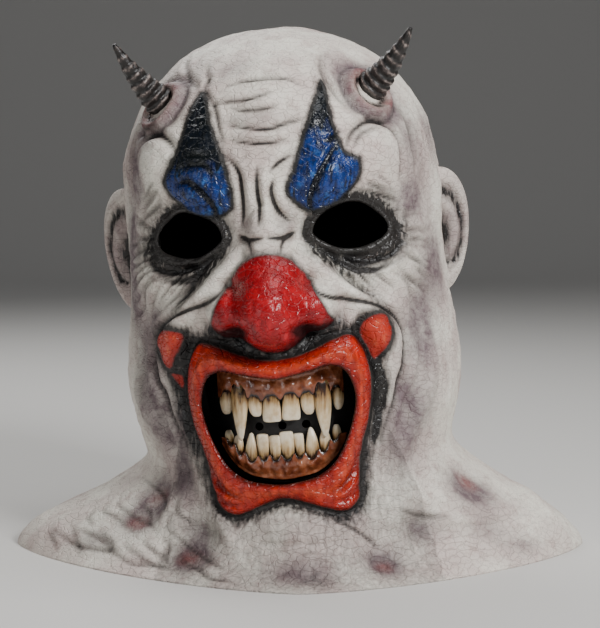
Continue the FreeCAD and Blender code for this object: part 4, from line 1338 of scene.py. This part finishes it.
tooth_paint, shader, place = new_material("stained tooth resin")
along = add(tooth_paint, "ShaderNodeAttribute", attribute_name="along").outputs["Fac"]
upright = add(tooth_paint, "ShaderNodeMapping", {"Vector": place, "Scale": (1.0, 1.0, 0.16)}).outputs[0]
stain = add(
    tooth_paint, "ShaderNodeTexNoise", {"Vector": upright, "Scale": 520, "Detail": 4}
).outputs["Fac"]
blotch = add(tooth_paint, "ShaderNodeTexNoise", {"Vector": place, "Scale": 210, "Detail": 3}).outputs["Fac"]
wander = add(
    tooth_paint, "ShaderNodeMath", {0: stain, 1: 0.75, 2: -0.38}, operation="MULTIPLY_ADD"
).outputs[0]
moved = add(tooth_paint, "ShaderNodeMath", {0: along, 1: wander}, operation="ADD").outputs[0]
colour = add(
    tooth_paint, "ShaderNodeValToRGB", {0: moved},
    stops=((0.0, "#241610"), (0.10, "#4A2E1C"), (0.24, "#9A7A52"), (0.5, "#D6C09A"), (0.9, "#EADDC4"),),
).outputs["Color"]
yellow = add(
    tooth_paint, "ShaderNodeMapRange", {0: blotch, 1: 0.45, 2: 0.7, 3: 0.0, 4: 0.55}, clamp=True
).outputs[0]
colour = add(
    tooth_paint, "ShaderNodeMix", {0: yellow, 6: colour, 7: linear("#B8945E")}, data_type="RGBA"
).outputs[2]
tooth_paint.node_tree.links.new(colour, shader.inputs["Base Color"])
shader.inputs["Roughness"].default_value = 0.25
shader.inputs["Subsurface Weight"].default_value = 0.08
shader.inputs["Subsurface Radius"].default_value = (0.002, 0.001, 0.0006)
bump = add(tooth_paint, "ShaderNodeBump", {"Height": stain, "Strength": 0.4, "Distance": 0.0004}).outputs[0]
tooth_paint.node_tree.links.new(bump, shader.inputs["Normal"])
for name, facts in {**UPPER_TEETH, **LOWER_TEETH}.items():
    tooth(name, *facts).data.materials.append(tooth_paint)

# ---- mouth backing ---------------------------------------------------------------------
# Black cloth glued across the mouth behind the teeth, with three punched breathing holes.

cloth, shader, place = new_material("black backing cloth")
weave = add(cloth, "ShaderNodeTexWave", {"Vector": place, "Scale": 900, "Distortion": 1.5}).outputs["Fac"]
fuzz = add(cloth, "ShaderNodeTexNoise", {"Vector": place, "Scale": 500, "Detail": 3}).outputs["Fac"]
colour = add(
    cloth, "ShaderNodeValToRGB", {0: fuzz},
    stops=((0.3, "#060505"), (0.7, "#151213"),),
).outputs["Color"]
cloth.node_tree.links.new(colour, shader.inputs["Base Color"])
bump = add(cloth, "ShaderNodeBump", {"Height": weave, "Strength": 0.3, "Distance": 0.0003}).outputs[0]
cloth.node_tree.links.new(bump, shader.inputs["Normal"])
shader.inputs["Roughness"].default_value = 0.6
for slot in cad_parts["mouth_backing"].material_slots:
    slot.material = cloth

# ---- horns -----------------------------------------------------------------------------
# Rigid foam castings with stepped growth rings, dry-brushed over a near-black base. Each
# stands on its stud in a hole in the skin.

HORN_LENGTH = 46.0
HORN_RADIUS = 10.5
HORN_TIP = 1.2
HORN_RINGS = 8
HORN_SPLAY = {-1: 42.0, 1: 50.0}
HORN_SINK = 6.0


def horn(name, side):
    """A ringed horn on the axis of the CAD one, from under the skin to its blunt tip."""
    splay, forward = math.radians(HORN_SPLAY[side]), math.radians(27.0)
    axis = np.array([
        side * math.sin(splay) * math.cos(forward), -math.sin(forward), math.cos(forward) * math.cos(splay)
    ])
    sideways = np.array([math.cos(splay), 0.0, -side * math.sin(splay)])
    third = np.cross(axis, sideways)
    start = np.array([side * 63.0, -60.0, 286.0])
    out = np.linspace(-30.0, 30.0, 601)
    line = start + out[:, None] * axis
    half_width, front, _ = reaches(line[:, 2])
    within_form = (line[:, 0] / half_width) ** 2 + (line[:, 1] / front) ** 2 < 1
    foot = line[np.nonzero(within_form)[0][-1]]
    built = bmesh.new()
    groove_layer = built.verts.layers.float.new("groove")
    ring = bmesh.ops.create_circle(built, segments=40, radius=1.0)["verts"]
    angles = [math.atan2(v.co.y, v.co.x) for v in ring]
    steps = 10 * HORN_RINGS
    for step in range(steps + 1):
        height = -HORN_SINK + (HORN_LENGTH + HORN_SINK) * step / steps
        if step:
            ring = next_ring(built, ring)
        t = max(height / HORN_LENGTH, 0.0)
        bend = math.radians(9.0) * t
        for vertex, angle in zip(ring, angles):
            round_axis = Vector((math.cos(angle), math.sin(angle), 0.0))
            wobble = noise.noise(1.4 * round_axis + Vector((0.0, 0.0, 4 * t)))
            slant = 0.16 * math.sin(angle + 0.6) + 0.10 * wobble
            phase = (HORN_RINGS * (t + 0.02) ** 0.86 + slant) % 1.0
            tooth_shape = phase / 0.72 if phase < 0.72 else (1 - phase) / 0.28
            radius = HORN_TIP + (HORN_RADIUS - HORN_TIP) * (1 - t) ** 0.9
            knobs = noise.noise(2.6 * round_axis + Vector((0.0, 0.0, 1.6 * HORN_RINGS * t)))
            depth = 0.17 * radius
            radius += depth * (tooth_shape - 0.9) + 0.55 * knobs * (1 - 0.5 * t)
            radius = max(radius, 0.5)
            centre = foot + height * (math.cos(bend) * axis - side * math.sin(bend) * sideways)
            bent = math.cos(bend) * sideways + side * math.sin(bend) * axis
            place = centre + radius * (math.cos(angle) * bent + math.sin(angle) * third)
            vertex.co = Vector(posed(place)) * 0.001
            vertex[groove_layer] = tooth_shape + 0.5 * knobs
    bmesh.ops.holes_fill(built, edges=[e for e in built.edges if e.is_boundary], sides=0)
    bmesh.ops.recalc_face_normals(built, faces=built.faces)
    for face in built.faces:
        face.smooth = True
    piece = finished(name + "_cast", built)
    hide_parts(name)
    return piece


horn_paint, shader, place = new_material("dry-brushed horn")
groove = add(horn_paint, "ShaderNodeAttribute", attribute_name="groove").outputs["Fac"]
fine = add(horn_paint, "ShaderNodeTexNoise", {"Vector": place, "Scale": 700, "Detail": 4}).outputs["Fac"]
blotch = add(horn_paint, "ShaderNodeTexNoise", {"Vector": place, "Scale": 180, "Detail": 4}).outputs["Fac"]
worn = add(horn_paint, "ShaderNodeMath", {0: fine, 1: 0.9, 2: -0.45}, operation="MULTIPLY_ADD").outputs[0]
worn = add(horn_paint, "ShaderNodeMath", {0: worn, 1: groove}, operation="ADD").outputs[0]
colour = add(
    horn_paint, "ShaderNodeValToRGB", {0: worn},
    stops=((0.15, "#080707"), (0.55, "#211D1C"), (0.85, "#544A47"), (1.0, "#8C807A"),),
).outputs["Color"]
shade = add(
    horn_paint, "ShaderNodeMapRange", {0: blotch, 1: 0.4, 2: 0.65, 3: 0.0, 4: 0.7}, clamp=True
).outputs[0]
colour = add(
    horn_paint, "ShaderNodeMix", {0: shade, 6: colour, 7: linear("#1E1917")}, data_type="RGBA"
).outputs[2]
horn_paint.node_tree.links.new(colour, shader.inputs["Base Color"])
shader.inputs["Roughness"].default_value = 0.38
bump = add(horn_paint, "ShaderNodeBump", {"Height": fine, "Strength": 0.6, "Distance": 0.0006}).outputs[0]
horn_paint.node_tree.links.new(bump, shader.inputs["Normal"])
for name, side in (("right_horn", -1), ("left_horn", 1)):
    horn(name, side).data.materials.append(horn_paint)

# ---- horn washers and screws -------------------------------------------------------------
# Zinc-plated steel, inside the head: a penny washer and a pan-head screw up each stud.

zinc, shader, place = new_material("zinc-plated steel")
turned = add(zinc, "ShaderNodeTexNoise", {"Vector": place, "Scale": 900, "Detail": 2}).outputs["Fac"]
colour = add(
    zinc, "ShaderNodeValToRGB", {0: turned},
    stops=((0.3, "#8E9096"), (0.7, "#B9BBC0"),),
).outputs["Color"]
zinc.node_tree.links.new(colour, shader.inputs["Base Color"])
rough = add(zinc, "ShaderNodeMapRange", {0: turned, 1: 0.3, 2: 0.7, 3: 0.28, 4: 0.42}).outputs[0]
zinc.node_tree.links.new(rough, shader.inputs["Roughness"])
shader.inputs["Metallic"].default_value = 1.0
for node in ("left_horn_washer", "right_horn_washer", "left_horn_screw", "right_horn_screw"):
    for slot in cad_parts[node].material_slots:
        slot.material = zinc

# ---- fitting pads ------------------------------------------------------------------------
# Charcoal upholstery foam glued inside the skin at crown, forehead, temples and nape, with
# soft crowned faces and rolled edges.

PAD_THICKNESS = 9.0
PAD_GAP = WALL + 0.6
foam, shader, place = new_material("charcoal foam")
cells = add(foam, "ShaderNodeTexVoronoi", {"Vector": place, "Scale": 1100}).outputs["Distance"]
tone = add(foam, "ShaderNodeTexNoise", {"Vector": place, "Scale": 90, "Detail": 3}).outputs["Fac"]
colour = add(
    foam, "ShaderNodeValToRGB", {0: tone},
    stops=((0.35, "#232325"), (0.65, "#323235"),),
).outputs["Color"]
dark_cell = add(
    foam, "ShaderNodeMapRange", {0: cells, 1: 0.0, 2: 0.35, 3: 0.0, 4: 1.0}, clamp=True
).outputs[0]
colour = add(
    foam, "ShaderNodeMix", {0: dark_cell, 6: linear("#0C0C0D"), 7: colour}, data_type="RGBA"
).outputs[2]
foam.node_tree.links.new(colour, shader.inputs["Base Color"])
bump = add(foam, "ShaderNodeBump", {"Height": cells, "Strength": 0.6, "Distance": 0.0006}).outputs[0]
foam.node_tree.links.new(bump, shader.inputs["Normal"])
shader.inputs["Roughness"].default_value = 0.95
shader.inputs["Sheen Weight"].default_value = 0.15


def pad(name, middle, spans, crown=False):
    """A pad from a grid: outer face near the skin, inner face crowned, edges rolled."""
    built = bmesh.new()
    bmesh.ops.create_grid(built, x_segments=26, y_segments=20, size=1.0)
    outer = [v for v in built.verts]

    def at(u, v, depth):
        if crown:
            reach = 40.0 * max(abs(u), abs(v))
            turn = math.atan2(v, u)
            x, y = reach * math.cos(turn), reach * math.sin(turn)
            across = max(math.hypot(x / 100.0, y / (111.0 if y < 0 else 120.0)), 1e-6)
            z = BROW + (CROWN - BROW) * (1 - across**FULLNESS) ** (1 / FULLNESS)
            return Vector((x, y, z - PAD_GAP - 0.4 - depth))
        angle = math.radians(middle[0]) + spans[0] * u
        z = middle[1] + spans[1] * v
        return Vector(around(angle, np.float64(z), PAD_GAP + depth))

    made = bmesh.ops.extrude_face_region(built, geom=built.faces[:])["geom"]
    copies = {v for v in made if isinstance(v, bmesh.types.BMVert)}
    for vertex in built.verts:
        u, v = vertex.co.x, vertex.co.y
        rim = max(abs(u), abs(v))
        puff = (1 - rim**6) ** 0.5 if rim < 1 else 0.0
        if vertex in copies:
            depth = 1.6 + (PAD_THICKNESS - 2.4) * puff
        else:
            depth = 1.2 * (1 - puff)
        corner = 1 - 0.06 * (abs(u) * abs(v)) ** 3
        vertex.co = Vector(posed(at(u * corner * 0.985, v * corner * 0.985, depth))) * 0.001
    bmesh.ops.recalc_face_normals(built, faces=built.faces)
    for face in built.faces:
        face.smooth = True
    piece = finished(name + "_foam", built)
    soften = piece.modifiers.new("soften", "SUBSURF")
    soften.levels = soften.render_levels = 1
    piece.data.materials.append(foam)
    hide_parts(name)


pad("forehead_pad", (0.0, 256.0), (math.asin(34 / 97.0), 16.0))
pad("nape_pad", (180.0, 150.0), (math.asin(36 / 100.0), 22.0))
pad("left_temple_pad", (88.0, 201.0), (0.25, 25.0))
pad("right_temple_pad", (-88.0, 201.0), (0.25, 25.0))
pad("crown_pad", None, None, crown=True)

# ---- floor and light -------------------------------------------------------------------

SWEEP_START = 2.6
SWEEP_RADIUS = 2.0
floor_mesh = bpy.data.meshes.new("floor")
floor_shape = bmesh.new()
bmesh.ops.create_grid(floor_shape, x_segments=1, y_segments=96, size=7.0)
for vertex in floor_shape.verts:
    beyond = max(0.0, vertex.co.y - SWEEP_START)
    turn = min(beyond / SWEEP_RADIUS, math.pi / 2)
    if beyond:
        vertex.co.y = SWEEP_START + SWEEP_RADIUS * math.sin(turn)
        vertex.co.z = SWEEP_RADIUS * (1 - math.cos(turn)) + beyond - SWEEP_RADIUS * turn
for face in floor_shape.faces:
    face.smooth = True
floor_shape.to_mesh(floor_mesh)
floor_shape.free()
floor = bpy.data.objects.new("floor", floor_mesh)
bpy.context.scene.collection.objects.link(floor)
floor_paint, shader, place = new_material("pale studio paper")
shader.inputs["Base Color"].default_value = linear("#D9D7D3")
shader.inputs["Roughness"].default_value = 0.9
floor_mesh.materials.append(floor_paint)
floor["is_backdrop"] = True


def softbox(name, location, target, size, power):
    lamp = bpy.data.lights.new(name, "AREA")
    lamp.size = size
    lamp.energy = power
    piece = bpy.data.objects.new(name, lamp)
    piece.location = location
    aim = Vector(target) - Vector(location)
    piece.rotation_euler = aim.to_track_quat("-Z", "Y").to_euler()
    bpy.context.scene.collection.objects.link(piece)


softbox("key", (0.85, -1.2, 0.95), (0.0, 0.0, 0.2), 0.45, 27)
softbox("fill", (-1.1, -1.1, 0.5), (0.0, 0.0, 0.15), 0.6, 4)
softbox("rim", (-0.5, 1.0, 1.2), (0.0, 0.0, 0.2), 0.8, 10)
softbox("top", (0.3, -0.1, 1.6), (0.0, 0.0, 0.1), 0.8, 9)
world = bpy.data.worlds.new("studio")
world.use_nodes = True
world.node_tree.nodes["Background"].inputs["Color"].default_value = linear("#C9CBD0")
world.node_tree.nodes["Background"].inputs["Strength"].default_value = 0.12
bpy.context.scene.world = world

low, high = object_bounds()
